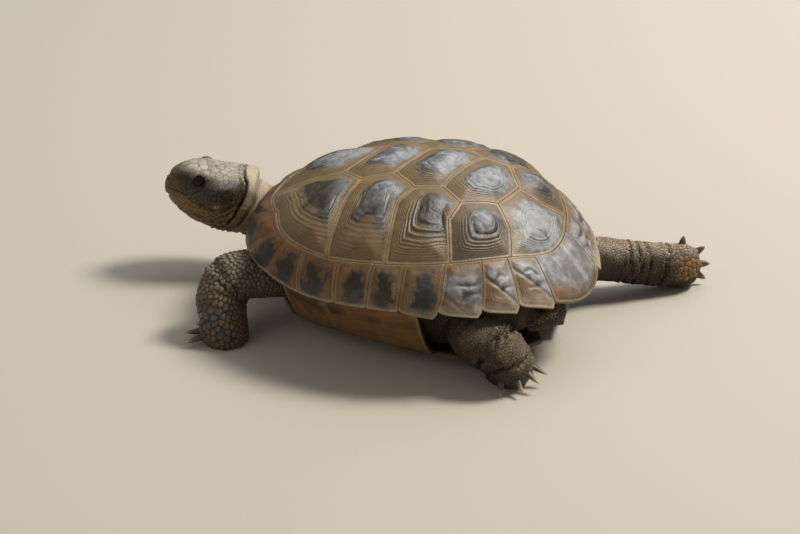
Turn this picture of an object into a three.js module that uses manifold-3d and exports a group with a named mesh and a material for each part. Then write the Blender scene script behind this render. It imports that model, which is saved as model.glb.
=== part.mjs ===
// A steppe tortoise in mid-stride, life size, as a still museum model.
// Millimetres, +Z up. The head points along -X and the animal's left side faces -Y.
// Every solid starts as a LatheGeometry, whose rows and columns are then laid on the real form.
import * as THREE from 'three';
import { mergeVertices } from 'three/addons/utils/BufferGeometryUtils.js';
import Module from 'manifold-3d';

const wasm = await Module();
wasm.setup();

// ---------------------------------------------------------------- driving dimensions
const GAP = 0.3;

// Carapace
const SHELL_HALF_LENGTH = 95;
const SHELL_HALF_WIDTH = 84;
const WIDEST_STATION = 3;
const REAR_TAPER = 0.03;
const CROWN_HEIGHT = 91.5;
const CROWN_TILT = 7;
const RIM_HEIGHT = 43;
const NUCHAL_RISE = 9;
const NUCHAL_SPAN = 26;
const BRIDGE_DROP = 3.5;
const BRIDGE_SPAN = 18;
const BRIDGE_ANGLE = 105;
const THIGH_RISE = 1;
const THIGH_SPAN = 26;
const THIGH_ANGLE = 44;
const SUPRACAUDAL_DROP = 7.5;
const SUPRACAUDAL_SPAN = 17;
const SUPRACAUDAL_POINT = 2.6;
const FRONT_SQUARENESS = 2.5;
const REAR_SQUARENESS = 1.95;
const REAR_FLARE = 0.16;
const REAR_FLARE_LEAD = 0.15;
const FRONT_FLARE = 0.065;
const FRONT_FLARE_LEAD = 0.2;
const FLARE_START = 0.62;
const FLARE_POWER = 1.5;
const TIP_START = 0.93;
const PLATE_THICKNESS = 3;
const PLATE_SWELL = 1.7;
const SEAM_DEPTH = 0.4;
const BEVEL_WIDTH = 9;
const PLATE_STEP = 10;
const PLATE_ROWS = [0.42, 0.8];
const HUB_PULL = 0.35;
const RIM_SWELL_SHARE = 0.5;
const NORMAL_STEP = 0.01;

// Carapace seams. Stations run from the middle of the shell towards the tail, and angles round the
// shell from the tail, at 0 degrees, over the left side to the neck, at 180.
const VERTEBRAL_SEAMS = {
  firstSecond: { station: -39, half: 20 },
  secondTip: { station: -23.5, half: 28 },
  secondThird: { station: -8, half: 19 },
  thirdTip: { station: 9.5, half: 29 },
  thirdFourth: { station: 22.5, half: 22.5 },
  fourthTip: { station: 36, half: 27 },
  fourthFifth: { station: 50, half: 11.5 },
};
const VERTEBRAL_AREOLAE = [-57, -21, 9, 38, 67];
const COSTAL_AREOLAE = [
  { station: -33, half: 38 },
  { station: -4, half: 36 },
  { station: 27.5, half: 35 },
  { station: 52, half: 27 },
];
const RIM_SEAMS = [176, 161, 138, 123, 108, 94.5, 83.4, 72.7, 60, 45.6, 32, 17.4];
const RING_SEAMS = [172, 139, 127, 120, 111, 96.4, 83.6, 71.9, 56.8, 41.5, 29.7, 15.2];
const COSTAL_KNEES = [
  { station: -23, half: 44 },
  { station: 7, half: 42 },
  { station: 36.5, half: 40 },
  { station: 61.5, half: 18.5 },
];
const RING = 0.725;
const RING_TAIL_SHIFT = 0.05;
const RING_TAIL_POWER = 6;
const RING_SHOULDER_SHIFT = 0.06;
const RING_SHOULDER_ANGLE = 138;
const RING_SHOULDER_WIDTH = 9;
const NEAR_RIM = 0.6;
const NECK_CORNER = 157;
const COSTAL_FEET = [101.6, 79.5, 54.7, 27.4];
const MARGINAL_AREOLA = { radius: 0.9, share: 0.4 };
const TOOTH = 0.03;
const TOOTH_LEAD = 1.5;
const FIRST_TOOTHED = 8;
const MARGINALS = 11;

// Plastron, in stations and distances from the midline
const PLASTRON_HEIGHT = 8;
const PLASTRON_THICKNESS = 3;
const PLASTRON_SWELL = 0.6;
const PLASTRON_STEP = 16;
const BRIDGE_START = 50;
const BRIDGE_TUCK = 4;
const BRIDGE_CLEARANCE = 1.5;
const BRIDGE_MIN_RUN = 20;
const HALVINGS = 30;
const PLASTRON_PLATES = {
  gular: [[-88, 0], [-86, 13], [-80, 22], [-70, 0]],
  humeral: [[-70, 0], [-80, 22], [-66, 40], [-52, 52], [-42, 55], [-38, 0]],
  pectoral: [[-38, 0], [-42, 55], [-44, Infinity], [-15, Infinity], [-20, 0]],
  abdominal: [[-20, 0], [-15, Infinity], [38, Infinity], [37, 55], [34, 0]],
  femoral: [[34, 0], [37, 55], [48, 52], [61, 42], [58, 0]],
  anal: [[58, 0], [61, 42], [72, 29], [78, 12], [69, 0]],
};

// Flesh
const TRUNK_CLEARANCE = 3.2;
const BELLY_CLEARANCE = 2.5;
const TRUNK_COLUMNS = 32;
const TRUNK_DOME_ROWS = [0.32, 0.58, 0.8, 0.9];
const TRUNK_BELLY_ROWS = [0.72, 0.4];
const TRUNK_WALL = 0.82;
const TRUNK_WALL_DROP = 4;
const LIMB_COLUMNS = 14;
const LIMB_STEP = 8;
const SINK = 4;

// Each station of a limb: where its middle is, and its radius across and upright
const NECK = [
  { middle: [-60, 0, 28], radii: [16, 13.5] },
  { middle: [-80, 0, 29.5], radii: [16, 15.5] },
  { middle: [-99, -1, 33.5], radii: [16.5, 15.5] },
  { middle: [-117.5, -4, 39.5], radii: [16.5, 17] },
  { middle: [-132, -12, 43.5], radii: [16.5, 18] },
];
const TAIL = [
  { middle: [58, 1, 26], radii: [11, 9] },
  { middle: [75, -1, 26], radii: [9, 7.5] },
  { middle: [83, -11, 26], radii: [6.5, 6] },
  { middle: [82, -22, 26], radii: [4.5, 4.5] },
  { middle: [78, -31, 25], radii: [2, 2] },
];
const FORELEG_LEFT = [
  { middle: [-54, -36, 25], radii: [13, 13] },
  { middle: [-67, -52, 28], radii: [13.5, 13] },
  { middle: [-78.5, -68, 30], radii: [13.5, 14] },
  { middle: [-81.5, -75, 22.5], radii: [13, 14.5] },
  { middle: [-78, -80, 13], radii: [12.5, 13.5] },
  { middle: [-74, -83, 5], radii: [11.8, 13] },
  { middle: [-73, -84, -SINK], radii: [11.3, 12.5] },
];
const FORELEG_RIGHT = [
  { middle: [-54, 36, 25], radii: [13, 13] },
  { middle: [-71, 51, 26], radii: [13.5, 13] },
  { middle: [-88, 64, 24], radii: [14.5, 14] },
  { middle: [-97, 70, 19], radii: [14, 14.5] },
  { middle: [-99, 75, 11], radii: [14, 13.5] },
  { middle: [-98, 78, 4], radii: [13.5, 13] },
  { middle: [-98, 79, -SINK], radii: [13, 13] },
];
const HINDLEG_LEFT = [
  { middle: [38, -26, 25], radii: [14, 13] },
  { middle: [52, -42, 25], radii: [15, 14] },
  { middle: [64, -52, 24], radii: [15, 14] },
  { middle: [74, -50, 19.5], radii: [14, 13.5] },
  { middle: [77, -46, 11], radii: [13, 13] },
  { middle: [73.5, -42, 3.5], radii: [11.5, 12] },
  { middle: [72, -41, -SINK], radii: [11, 11.5] },
];
const HINDLEG_RIGHT = [
  { middle: [42, 28, 27], radii: [13, 12] },
  { middle: [58, 50, 26], radii: [13.5, 12.5] },
  { middle: [72, 69, 22], radii: [12.5, 12.5] },
  { middle: [86, 82, 18], radii: [11.5, 12.5] },
  { middle: [97, 94, 14.5], radii: [11.5, 12.5] },
  { middle: [105, 103, 12.4], radii: [11, 13] },
  { middle: [110, 108, 12], radii: [8, 10.5] },
];

// Claws spread in a fan: the fan's middle, the way it points and spreads, and each claw's angle
const FORE_CLAW = { length: 12, radius: 2.5, slope: 24 };
const HIND_CLAW = { length: 12.5, radius: 2.2, slope: 52 };
const STRETCHED_CLAW = { length: 8, radius: 2.5, slope: 0 };
const CLAW_COLUMNS = 6;
const CLAW_SINK = 0.3;
const CLAW_WAIST = { along: 0.45, share: 0.78 };
const CLAW_DROOP = 0.12;
const FEET = {
  foreleg_left: {
    limb: FORELEG_LEFT, claw: FORE_CLAW, angles: [-38, -8, 22, 52],
    middle: [-73.5, -83.5, 6], ahead: [-1, 0, 0], spread: [0, -1, 0], reach: 12,
  },
  foreleg_right: {
    limb: FORELEG_RIGHT, claw: FORE_CLAW, angles: [-38, -8, 22, 52],
    middle: [-98, 79, 6], ahead: [-1, 0, 0], spread: [0, 1, 0], reach: 13,
  },
  hindleg_left: {
    limb: HINDLEG_LEFT, claw: HIND_CLAW, angles: [-8, 26, 56, 84],
    middle: [75, -44, 9.5], ahead: [0.35, -1, 0], spread: [1, 0.35, 0.3], reach: 11,
  },
  hindleg_right: {
    limb: HINDLEG_RIGHT, claw: STRETCHED_CLAW, angles: [-34, -2, 32, 76],
    middle: [103.5, 102, 12.5], ahead: [0.7, 0.7, 0], spread: [-0.2, 0, 1], reach: 10,
  },
};

// Head, from the neck to the beak
const HEAD_TURN = 28;
const HEAD_START = [-118, -3.2, 48.3];
const HEAD_COLUMNS = 18;
const HEAD_SQUARENESS = 0.9;
const HEAD_TIP = 0.5;
const HEAD_ROWS = [
  { at: 0, half: 16.5, top: 12.5, bottom: 26.5 },
  { at: 9, half: 17.3, top: 13.8, bottom: 25.5 },
  { at: 19, half: 17, top: 15, bottom: 22.5 },
  { at: 28, half: 14.8, top: 15.5, bottom: 18.5 },
  { at: 34.3, half: 11.4, top: 13.8, bottom: 13.8 },
  { at: 39, half: 8.4, top: 11, bottom: 9.3 },
  { at: 41.8, half: 5.4, top: 6.8, bottom: 5.9 },
  { at: 43.2, half: 2.5, top: 3, bottom: 3 },
];
const EYE = { at: 21.5, across: 11, height: 8.3, radius: 4.3, rings: 7, columns: 12 };

const DEGREE = Math.PI / 180;

// ---------------------------------------------------------------- the carapace as one smooth form
function smoothStep(low, high, value) {
  const t = Math.min(Math.max((value - low) / (high - low), 0), 1);
  return t * t * (3 - 2 * t);
}

// Seam coordinates (u, v) lie in a disc: u towards the tail, v towards the left, 1 at the rim.
function polar(radius, degrees) {
  return { u: radius * Math.cos(degrees * DEGREE), v: radius * Math.sin(degrees * DEGREE) };
}

function planForm(u, v) {
  const radius = Math.hypot(u, v);
  const c = radius > 0 ? u / radius : 1;
  const s = radius > 0 ? v / radius : 0;
  const power = FRONT_SQUARENESS + (REAR_SQUARENESS - FRONT_SQUARENESS) * (1 + c) / 2;
  const reach = (Math.abs(c) ** power + Math.abs(s) ** power) ** (-1 / power);
  const flare = REAR_FLARE * Math.max(c + REAR_FLARE_LEAD, 0)
    + FRONT_FLARE * Math.max(-c - FRONT_FLARE_LEAD, 0);
  return { radius, c, s, reach, flare };
}

function halfLengthTowards(c) {
  return c < 0 ? SHELL_HALF_LENGTH + WIDEST_STATION : SHELL_HALF_LENGTH - WIDEST_STATION;
}

function halfWidthAt(x) {
  return SHELL_HALF_WIDTH * (1 - REAR_TAPER * x / SHELL_HALF_LENGTH);
}

function bump(angle, centre, span) {
  return Math.exp(-(((angle - centre) / span) ** 2));
}

// The rim arches over the neck and the hind legs, and dips at the bridges and over the tail.
function rimHeight(c) {
  const angle = Math.acos(Math.min(Math.max(c, -1), 1)) / DEGREE;
  const arches = NUCHAL_RISE * bump(angle, 180, NUCHAL_SPAN)
    + THIGH_RISE * bump(angle, THIGH_ANGLE, THIGH_SPAN);
  const dips = BRIDGE_DROP * bump(angle, BRIDGE_ANGLE, BRIDGE_SPAN)
    + SUPRACAUDAL_DROP * bump(angle, 0, SUPRACAUDAL_SPAN);
  return RIM_HEIGHT + arches - dips;
}

function shellPoint(u, v) {
  const { radius, c, s, reach, flare } = planForm(u, v);
  const angle = radius * Math.PI / 2;
  const ramp = Math.max((radius - FLARE_START) / (1 - FLARE_START), 0) ** FLARE_POWER;
  const spread = Math.sin(angle) * (1 - flare) + flare * ramp;
  const rise = Math.cos(angle);
  const tip = SUPRACAUDAL_POINT * smoothStep(TIP_START, 1, c) * ramp;
  const x = WIDEST_STATION + halfLengthTowards(c) * reach * c * spread + tip;
  const y = -halfWidthAt(x) * reach * s * spread;
  const rim = rimHeight(c);
  const z = rim + (CROWN_HEIGHT - rim + CROWN_TILT * x / SHELL_HALF_LENGTH) * rise;
  return new THREE.Vector3(x, y, z);
}

function shellNormal(u, v) {
  const alongTail = shellPoint(u + NORMAL_STEP, v).sub(shellPoint(u - NORMAL_STEP, v));
  const alongLeft = shellPoint(u, v + NORMAL_STEP).sub(shellPoint(u, v - NORMAL_STEP));
  return alongLeft.cross(alongTail).normalize();
}

function shellOffset(u, v, height) {
  return shellPoint(u, v).addScaledVector(shellNormal(u, v), height);
}

// The seam coordinates of a place given by its station and its distance from the midline.
function seatOf({ station, half }) {
  const c = (station - WIDEST_STATION) / halfLengthTowards(station - WIDEST_STATION);
  const s = half / halfWidthAt(station);
  const length = Math.hypot(c, s);
  const { reach, flare } = planForm(c, s);
  const spread = length / reach;
  const radius = Math.asin(spread / (1 - flare)) * 2 / Math.PI;
  return { u: radius * c / length, v: radius * s / length };
}

function ringRadius(degrees) {
  const tail = RING_TAIL_SHIFT * Math.max(Math.cos(degrees * DEGREE), 0) ** RING_TAIL_POWER;
  const offset = (degrees - RING_SHOULDER_ANGLE) / RING_SHOULDER_WIDTH;
  return RING + tail - RING_SHOULDER_SHIFT * Math.exp(-offset * offset);
}

// ---------------------------------------------------------------- building solids
// Lays the rows and columns of a lathe on a form. place(row, column) gives each point, and the
// first and last rows close on one point each.
function layLathe(rows, columns, place) {
  const profile = [];
  for (let row = 0; row < rows; row += 1) {
    const onAxis = row === 0 || row === rows - 1;
    profile.push(new THREE.Vector2(onAxis ? 0 : 1, row));
  }
  const geometry = new THREE.LatheGeometry(profile, columns);
  const position = geometry.attributes.position;
  for (let column = 0; column <= columns; column += 1) {
    for (let row = 0; row < rows; row += 1) {
      const onAxis = row === 0 || row === rows - 1;
      const point = place(row, onAxis ? 0 : column % columns);
      position.setXYZ(column * rows + row, point.x, point.y, point.z);
    }
  }
  return tidySolid(geometry);
}

// Merges shared points, drops the empty triangles at the poles and turns the faces outwards.
function tidySolid(source) {
  const bare = new THREE.BufferGeometry();
  bare.setAttribute('position', source.attributes.position);
  bare.setIndex(source.index);
  const merged = mergeVertices(bare, 1e-4);
  const index = merged.index.array;
  const faces = [];
  for (let i = 0; i < index.length; i += 3) {
    const [a, b, c] = [index[i], index[i + 1], index[i + 2]];
    if (a !== b && b !== c && c !== a) {
      faces.push(a, b, c);
    }
  }
  merged.setIndex(faces);
  if (signedVolume(merged) < 0) {
    for (let i = 0; i < faces.length; i += 3) {
      [faces[i + 1], faces[i + 2]] = [faces[i + 2], faces[i + 1]];
    }
    merged.setIndex(faces);
  }
  return merged;
}

function signedVolume(geometry) {
  const position = geometry.attributes.position;
  const index = geometry.index.array;
  const corners = [new THREE.Vector3(), new THREE.Vector3(), new THREE.Vector3()];
  let total = 0;
  for (let i = 0; i < index.length; i += 3) {
    corners.forEach((corner, k) => corner.fromBufferAttribute(position, index[i + k]));
    total += corners[0].dot(corners[1].clone().cross(corners[2])) / 6;
  }
  return total;
}

function toManifold(geometry) {
  const vertProperties = Float32Array.from(geometry.attributes.position.array);
  const triVerts = Uint32Array.from(geometry.index.array);
  return new wasm.Manifold(new wasm.Mesh({ numProp: 3, vertProperties, triVerts }));
}

function fromManifold(manifold) {
  const mesh = manifold.getMesh();
  const geometry = new THREE.BufferGeometry();
  geometry.setAttribute('position', new THREE.BufferAttribute(mesh.vertProperties, 3));
  geometry.setIndex(new THREE.BufferAttribute(mesh.triVerts, 1));
  return geometry;
}

function mirrored(geometry) {
  const copy = geometry.clone();
  copy.scale(1, -1, 1);
  return tidySolid(copy);
}

// ---------------------------------------------------------------- horn plates
// Points along the seam between two corners, without the last one. Seams near the rim follow it.
function seamPoints(from, to, surface, step) {
  const length = surface.point(from.u, from.v).distanceTo(surface.point(to.u, to.v));
  const count = Math.max(Math.round(length / step), 1);
  const points = [];
  for (let i = 0; i < count; i += 1) {
    points.push(surface.between(from, to, i / count));
  }
  return points;
}

function seamSides(edge, surface) {
  const points = edge.map(({ u, v }) => surface.point(u, v));
  return points.map((point, i) => new THREE.Line3(point, points[(i + 1) % points.length]));
}

function seamDistance(point, sides) {
  const nearest = new THREE.Vector3();
  return Math.min(...sides.map((side) => {
    side.closestPointToPoint(point, true, nearest);
    return nearest.distanceTo(point);
  }));
}

// The point the rows of a plate close on, between the middle of its seams and its areola.
function hubOf(edge, areola) {
  const hub = { u: areola.u * HUB_PULL, v: areola.v * HUB_PULL };
  edge.forEach(({ u, v }) => {
    hub.u += u * (1 - HUB_PULL) / edge.length;
    hub.v += v * (1 - HUB_PULL) / edge.length;
  });
  return hub;
}

// A plate of horn over a form: its edge follows the seams, and it swells away from them.
function hornPlate(corners, areola, surface, form) {
  const { thickness, swell, step = PLATE_STEP, curved = false } = form;
  const edge = [];
  corners.forEach((corner, i) => {
    edge.push(...seamPoints(corner, corners[(i + 1) % corners.length], surface, step));
  });
  const hub = hubOf(edge, areola);
  const sides = seamSides(edge, surface);
  const shares = [0, ...PLATE_ROWS, 1];
  const underShares = curved ? [...shares].reverse() : [1, 0];
  const rows = [
    ...shares.map((share) => ({ share })),
    ...underShares.map((share) => ({ share, under: true })),
  ];
  const centre = surface.point(hub.u, hub.v);
  return layLathe(rows.length, edge.length, (row, column) => {
    const { share, under } = rows[row];
    const rim = edge[column];
    const u = hub.u + (rim.u - hub.u) * share;
    const v = hub.v + (rim.v - hub.v) * share;
    const full = smoothStep(0, BEVEL_WIDTH, seamDistance(surface.point(u, v), sides));
    const height = under ? -thickness : (swell + SEAM_DEPTH) * full - SEAM_DEPTH;
    const point = surface.offset(u, v, height);
    if (share === 1) {
      point.add(centre.clone().sub(point).setLength(GAP));
    }
    return point;
  });
}

const carapace = {
  point: shellPoint,
  offset: shellOffset,
  between(from, to, t) {
    const [fromRadius, toRadius] = [Math.hypot(from.u, from.v), Math.hypot(to.u, to.v)];
    const nearRim = Math.min(fromRadius, toRadius) > NEAR_RIM;
    if (!nearRim) {
      return { u: from.u + (to.u - from.u) * t, v: from.v + (to.v - from.v) * t };
    }
    const [start, end] = [Math.atan2(from.v, from.u), Math.atan2(to.v, to.u)];
    let turn = end - start;
    turn -= 2 * Math.PI * Math.round(turn / (2 * Math.PI));
    return polar(fromRadius + (toRadius - fromRadius) * t, (start + turn * t) / DEGREE);
  },
};

const seat = Object.fromEntries(
  Object.entries(VERTEBRAL_SEAMS).map(([name, place]) => [name, seatOf(place)]),
);
const onRing = (degrees) => polar(ringRadius(degrees), degrees);
const onRim = (degrees) => polar(1, degrees);
const knees = COSTAL_KNEES.map(seatOf);
const toRight = ({ u, v }) => ({ u, v: -v });
const acrossMidline = (left) => [...left, ...left.map(toRight).reverse()];

function vertebralOutlines() {
  const firstFront = [onRing(RING_SEAMS[0]), onRing(NECK_CORNER), seat.firstSecond];
  const fifth = [seat.fourthFifth, knees[3], onRing(COSTAL_FEET[3]), onRing(RING_SEAMS[11])];
  return [
    acrossMidline(firstFront),
    acrossMidline([seat.firstSecond, seat.secondTip, seat.secondThird]),
    acrossMidline([seat.secondThird, seat.thirdTip, seat.thirdFourth]),
    acrossMidline([seat.thirdFourth, seat.fourthTip, seat.fourthFifth]),
    acrossMidline(fifth),
  ];
}

// The corners on the ring between two angles, where the seams of the marginals come in.
function ringCorners(from, to) {
  const between = [...RING_SEAMS, ...COSTAL_FEET, NECK_CORNER].filter((a) => a < from && a > to);
  return [from, ...between.sort((a, b) => b - a), to].map(onRing);
}

function costalOutlines() {
  const tops = [
    { front: [seat.firstSecond], rear: [seat.secondTip] },
    { front: [seat.secondTip, knees[0]], rear: [seat.thirdTip, seat.secondThird] },
    { front: [seat.thirdTip, knees[1]], rear: [seat.fourthTip, seat.thirdFourth] },
    { front: [seat.fourthTip, knees[2]], rear: [seat.fourthFifth] },
  ];
  const feet = [NECK_CORNER, ...COSTAL_FEET];
  return tops.map(({ front, rear }, i) => (
    [...front, ...ringCorners(feet[i], feet[i + 1]), knees[i], ...rear]
  ));
}

function marginalOutline(number) {
  const [rimFront, rimRear] = [RIM_SEAMS[number - 1], RIM_SEAMS[number]];
  const ring = ringCorners(RING_SEAMS[number - 1], RING_SEAMS[number]);
  const tooth = number >= FIRST_TOOTHED ? [polar(1 + TOOTH, rimRear + TOOTH_LEAD)] : [];
  return [onRim(rimFront), ...tooth, onRim(rimRear), ...ring.reverse()];
}

function marginalAreola(number) {
  const [rimFront, rimRear] = [RIM_SEAMS[number - 1], RIM_SEAMS[number]];
  return polar(MARGINAL_AREOLA.radius, rimRear + (rimFront - rimRear) * MARGINAL_AREOLA.share);
}

const solids = new Map();

function addCarapace() {
  const plate = { thickness: PLATE_THICKNESS, swell: PLATE_SWELL };
  const rimPlate = { thickness: PLATE_THICKNESS, swell: PLATE_SWELL * RIM_SWELL_SHARE };
  vertebralOutlines().forEach((outline, i) => {
    const areola = seatOf({ station: VERTEBRAL_AREOLAE[i], half: 0 });
    solids.set(`vertebral_${i + 1}`, hornPlate(outline, areola, carapace, plate));
  });
  costalOutlines().forEach((outline, i) => {
    const geometry = hornPlate(outline, seatOf(COSTAL_AREOLAE[i]), carapace, plate);
    solids.set(`costal_left_${i + 1}`, geometry);
    solids.set(`costal_right_${i + 1}`, mirrored(geometry));
  });
  for (let number = 1; number <= MARGINALS; number += 1) {
    const outline = marginalOutline(number);
    const geometry = hornPlate(outline, marginalAreola(number), carapace, rimPlate);
    solids.set(`marginal_left_${number}`, geometry);
    solids.set(`marginal_right_${number}`, mirrored(geometry));
  }
  const nuchal = acrossMidline([onRing(RING_SEAMS[0]), onRim(RIM_SEAMS[0])]);
  solids.set('nuchal', hornPlate(nuchal, polar(MARGINAL_AREOLA.radius, 180), carapace, rimPlate));
  const supracaudal = acrossMidline([onRing(RING_SEAMS[11]), onRim(RIM_SEAMS[11])]);
  solids.set('supracaudal', hornPlate(supracaudal, polar(MARGINAL_AREOLA.radius, 0), carapace, rimPlate));
}

addCarapace();

// ---------------------------------------------------------------- the plastron
// The rim point at a station, found by halving the angle between the neck and the tail.
function rimAtStation(station) {
  let [tail, neck] = [0, 180];
  for (let i = 0; i < HALVINGS; i += 1) {
    const middle = (tail + neck) / 2;
    const { u, v } = polar(1, middle);
    if (shellPoint(u, v).x > station) {
      tail = middle;
    } else {
      neck = middle;
    }
  }
  const { u, v } = polar(1, tail);
  return shellPoint(u, v);
}

// Plastron coordinates: u is the station and v the share of the way from the midline to the rim.
function plastronPoint(u, v) {
  const rim = rimAtStation(u);
  const reach = -rim.y - BRIDGE_TUCK;
  const run = Math.max(reach - BRIDGE_START, BRIDGE_MIN_RUN);
  const climb = Math.max(reach * v - BRIDGE_START, 0) / run;
  const top = rim.z - BRIDGE_CLEARANCE - PLASTRON_HEIGHT;
  return new THREE.Vector3(u, -reach * v, PLASTRON_HEIGHT + top * climb ** 2);
}

function plastronOffset(u, v, height) {
  const along = plastronPoint(u + 1, v).sub(plastronPoint(u - 1, v));
  const across = plastronPoint(u, v + NORMAL_STEP).sub(plastronPoint(u, v - NORMAL_STEP));
  return plastronPoint(u, v).addScaledVector(along.cross(across).normalize(), height);
}

function plastronSeat([station, half]) {
  const reach = -rimAtStation(station).y - BRIDGE_TUCK;
  return { u: station, v: Math.min(half / reach, 1) };
}

const plastron = {
  point: plastronPoint,
  offset: plastronOffset,
  between: (from, to, t) => ({ u: from.u + (to.u - from.u) * t, v: from.v + (to.v - from.v) * t }),
};

function addPlastron() {
  const plate = {
    thickness: PLASTRON_THICKNESS, swell: PLASTRON_SWELL, step: PLASTRON_STEP, curved: true,
  };
  Object.entries(PLASTRON_PLATES).forEach(([name, places]) => {
    const outline = places.map(plastronSeat);
    const areola = { u: 0, v: 0 };
    outline.forEach(({ u, v }) => {
      areola.u += u / outline.length;
      areola.v += v / outline.length;
    });
    const geometry = hornPlate(outline, areola, plastron, plate);
    solids.set(`${name}_left`, geometry);
    solids.set(`${name}_right`, mirrored(geometry));
  });
}

addPlastron();

// ---------------------------------------------------------------- flesh
function trunkSolid(swell) {
  const under = PLATE_THICKNESS + TRUNK_CLEARANCE - swell;
  const above = PLASTRON_THICKNESS + BELLY_CLEARANCE - swell;
  const domeRows = TRUNK_DOME_ROWS.length;
  const rows = domeRows + TRUNK_BELLY_ROWS.length + 3;
  return layLathe(rows, TRUNK_COLUMNS, (row, column) => {
    const degrees = column * 360 / TRUNK_COLUMNS;
    if (row === 0) {
      return shellOffset(0, 0, -under);
    }
    if (row <= domeRows) {
      const { u, v } = polar(TRUNK_DOME_ROWS[row - 1], degrees);
      return shellOffset(u, v, -under);
    }
    const edge = polar(1, degrees);
    const rim = shellPoint(edge.u, edge.v);
    if (row === domeRows + 1) {
      const reach = TRUNK_WALL + swell / SHELL_HALF_WIDTH;
      return new THREE.Vector3(rim.x * reach, rim.y * reach, rim.z - TRUNK_WALL_DROP);
    }
    const share = row === rows - 1 ? 0 : TRUNK_BELLY_ROWS[row - domeRows - 2];
    const side = Math.sign(rim.y) || 1;
    const station = rim.x * share;
    const seatHere = plastronSeat([station, Math.abs(rim.y) * share]);
    const point = plastronOffset(seatHere.u, seatHere.v, -above);
    return new THREE.Vector3(point.x, Math.abs(point.y) * side, point.z);
  });
}

// A limb along a smooth path, with flat ends. The frame of its sections is carried along the
// path without twisting.
function limbSolid(stations) {
  const middles = stations.map(({ middle }) => new THREE.Vector3(...middle));
  const curve = new THREE.CatmullRomCurve3(middles);
  const spans = Math.round(curve.getLength() / LIMB_STEP);
  const sections = [];
  let upward = new THREE.Vector3(0, 0, 1);
  for (let span = 0; span <= spans; span += 1) {
    const t = span / spans;
    const ahead = curve.getTangent(t);
    const across = upward.clone().cross(ahead).normalize();
    upward = ahead.clone().cross(across).normalize();
    const [half, height] = radiiAt(stations, t);
    sections.push({ middle: curve.getPoint(t), across: across.setLength(half),
      upright: upward.clone().setLength(height) });
  }
  return layLathe(spans + 3, LIMB_COLUMNS, (row, column) => {
    const { middle, across, upright } = sections[Math.min(Math.max(row - 1, 0), spans)];
    if (row === 0 || row === spans + 2) {
      return middle.clone();
    }
    const angle = column * 2 * Math.PI / LIMB_COLUMNS;
    return middle.clone().addScaledVector(across, Math.cos(angle))
      .addScaledVector(upright, Math.sin(angle));
  });
}

function radiiAt(stations, t) {
  const scaled = t * (stations.length - 1);
  const before = Math.min(Math.floor(scaled), stations.length - 2);
  const share = scaled - before;
  return [0, 1].map((k) => {
    const [from, to] = [stations[before].radii[k], stations[before + 1].radii[k]];
    return from + (to - from) * share;
  });
}

// A claw: a cone that droops a little towards its tip.
function clawSolid(root, ahead, across, { length, radius }) {
  const upward = across.clone().cross(ahead).normalize();
  const rows = [
    { along: -CLAW_SINK, share: 0, droop: 0 },
    { along: -CLAW_SINK, share: 1, droop: 0 },
    { along: CLAW_WAIST.along, share: CLAW_WAIST.share, droop: 0 },
    { along: 1, share: 0, droop: CLAW_DROOP },
  ];
  return layLathe(rows.length, CLAW_COLUMNS, (row, column) => {
    const { along, share, droop } = rows[row];
    const angle = column * 2 * Math.PI / CLAW_COLUMNS;
    return root.clone()
      .addScaledVector(ahead, along * length)
      .addScaledVector(upward, -droop * length)
      .addScaledVector(across, radius * share * Math.cos(angle))
      .addScaledVector(upward, radius * share * Math.sin(angle));
  });
}

// The limb of a foot joined with its fan of claws.
function footSolid({ limb, claw, angles, middle, ahead, spread, reach }) {
  const forward = new THREE.Vector3(...ahead).normalize();
  const side = new THREE.Vector3(...spread).normalize();
  const normal = side.clone().cross(forward).normalize();
  const down = normal.z > 0 ? normal.negate() : normal;
  let solid = toManifold(limbSolid(limb));
  angles.forEach((degrees) => {
    const [cosine, sine] = [Math.cos(degrees * DEGREE), Math.sin(degrees * DEGREE)];
    const direction = forward.clone().multiplyScalar(cosine).addScaledVector(side, sine).normalize();
    const root = new THREE.Vector3(...middle).addScaledVector(direction, reach);
    const across = direction.clone().cross(down).normalize();
    const slope = claw.slope * DEGREE;
    direction.multiplyScalar(Math.cos(slope)).addScaledVector(down, Math.sin(slope));
    solid = solid.add(toManifold(clawSolid(root, direction, across, claw)));
  });
  return solid;
}

function headFrame() {
  const ahead = new THREE.Vector3(-Math.cos(HEAD_TURN * DEGREE), -Math.sin(HEAD_TURN * DEGREE), 0);
  const across = new THREE.Vector3(0, 0, 1).cross(ahead).normalize();
  return { start: new THREE.Vector3(...HEAD_START), ahead, across };
}

function headPlace(at, side, height) {
  const { start, ahead, across } = headFrame();
  return start.addScaledVector(ahead, at).addScaledVector(across, side).setZ(HEAD_START[2] + height);
}

function headSolid() {
  const last = HEAD_ROWS.length - 1;
  const soften = (value) => Math.sign(value) * Math.abs(value) ** HEAD_SQUARENESS;
  return layLathe(HEAD_ROWS.length + 2, HEAD_COLUMNS, (row, column) => {
    const { at, half, top, bottom } = HEAD_ROWS[Math.min(Math.max(row - 1, 0), last)];
    if (row === 0 || row === last + 2) {
      return headPlace(row === 0 ? at : at + HEAD_TIP, 0, (top - bottom) / 2);
    }
    const angle = column * 2 * Math.PI / HEAD_COLUMNS;
    const reach = Math.sin(angle) > 0 ? top : bottom;
    return headPlace(at, half * soften(Math.cos(angle)), reach * soften(Math.sin(angle)));
  });
}

function eyeSolid(side, swell) {
  const sphere = new THREE.SphereGeometry(EYE.radius + swell, EYE.columns, EYE.rings);
  const place = headPlace(EYE.at, side * EYE.across, EYE.height);
  sphere.translate(place.x, place.y, place.z);
  return tidySolid(sphere);
}

function floorSolid() {
  const [span, depth] = [SHELL_HALF_LENGTH * 4, SHELL_HALF_LENGTH];
  const block = new THREE.BoxGeometry(span, span, depth);
  block.translate(0, 0, -depth / 2);
  return toManifold(tidySolid(block));
}

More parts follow.
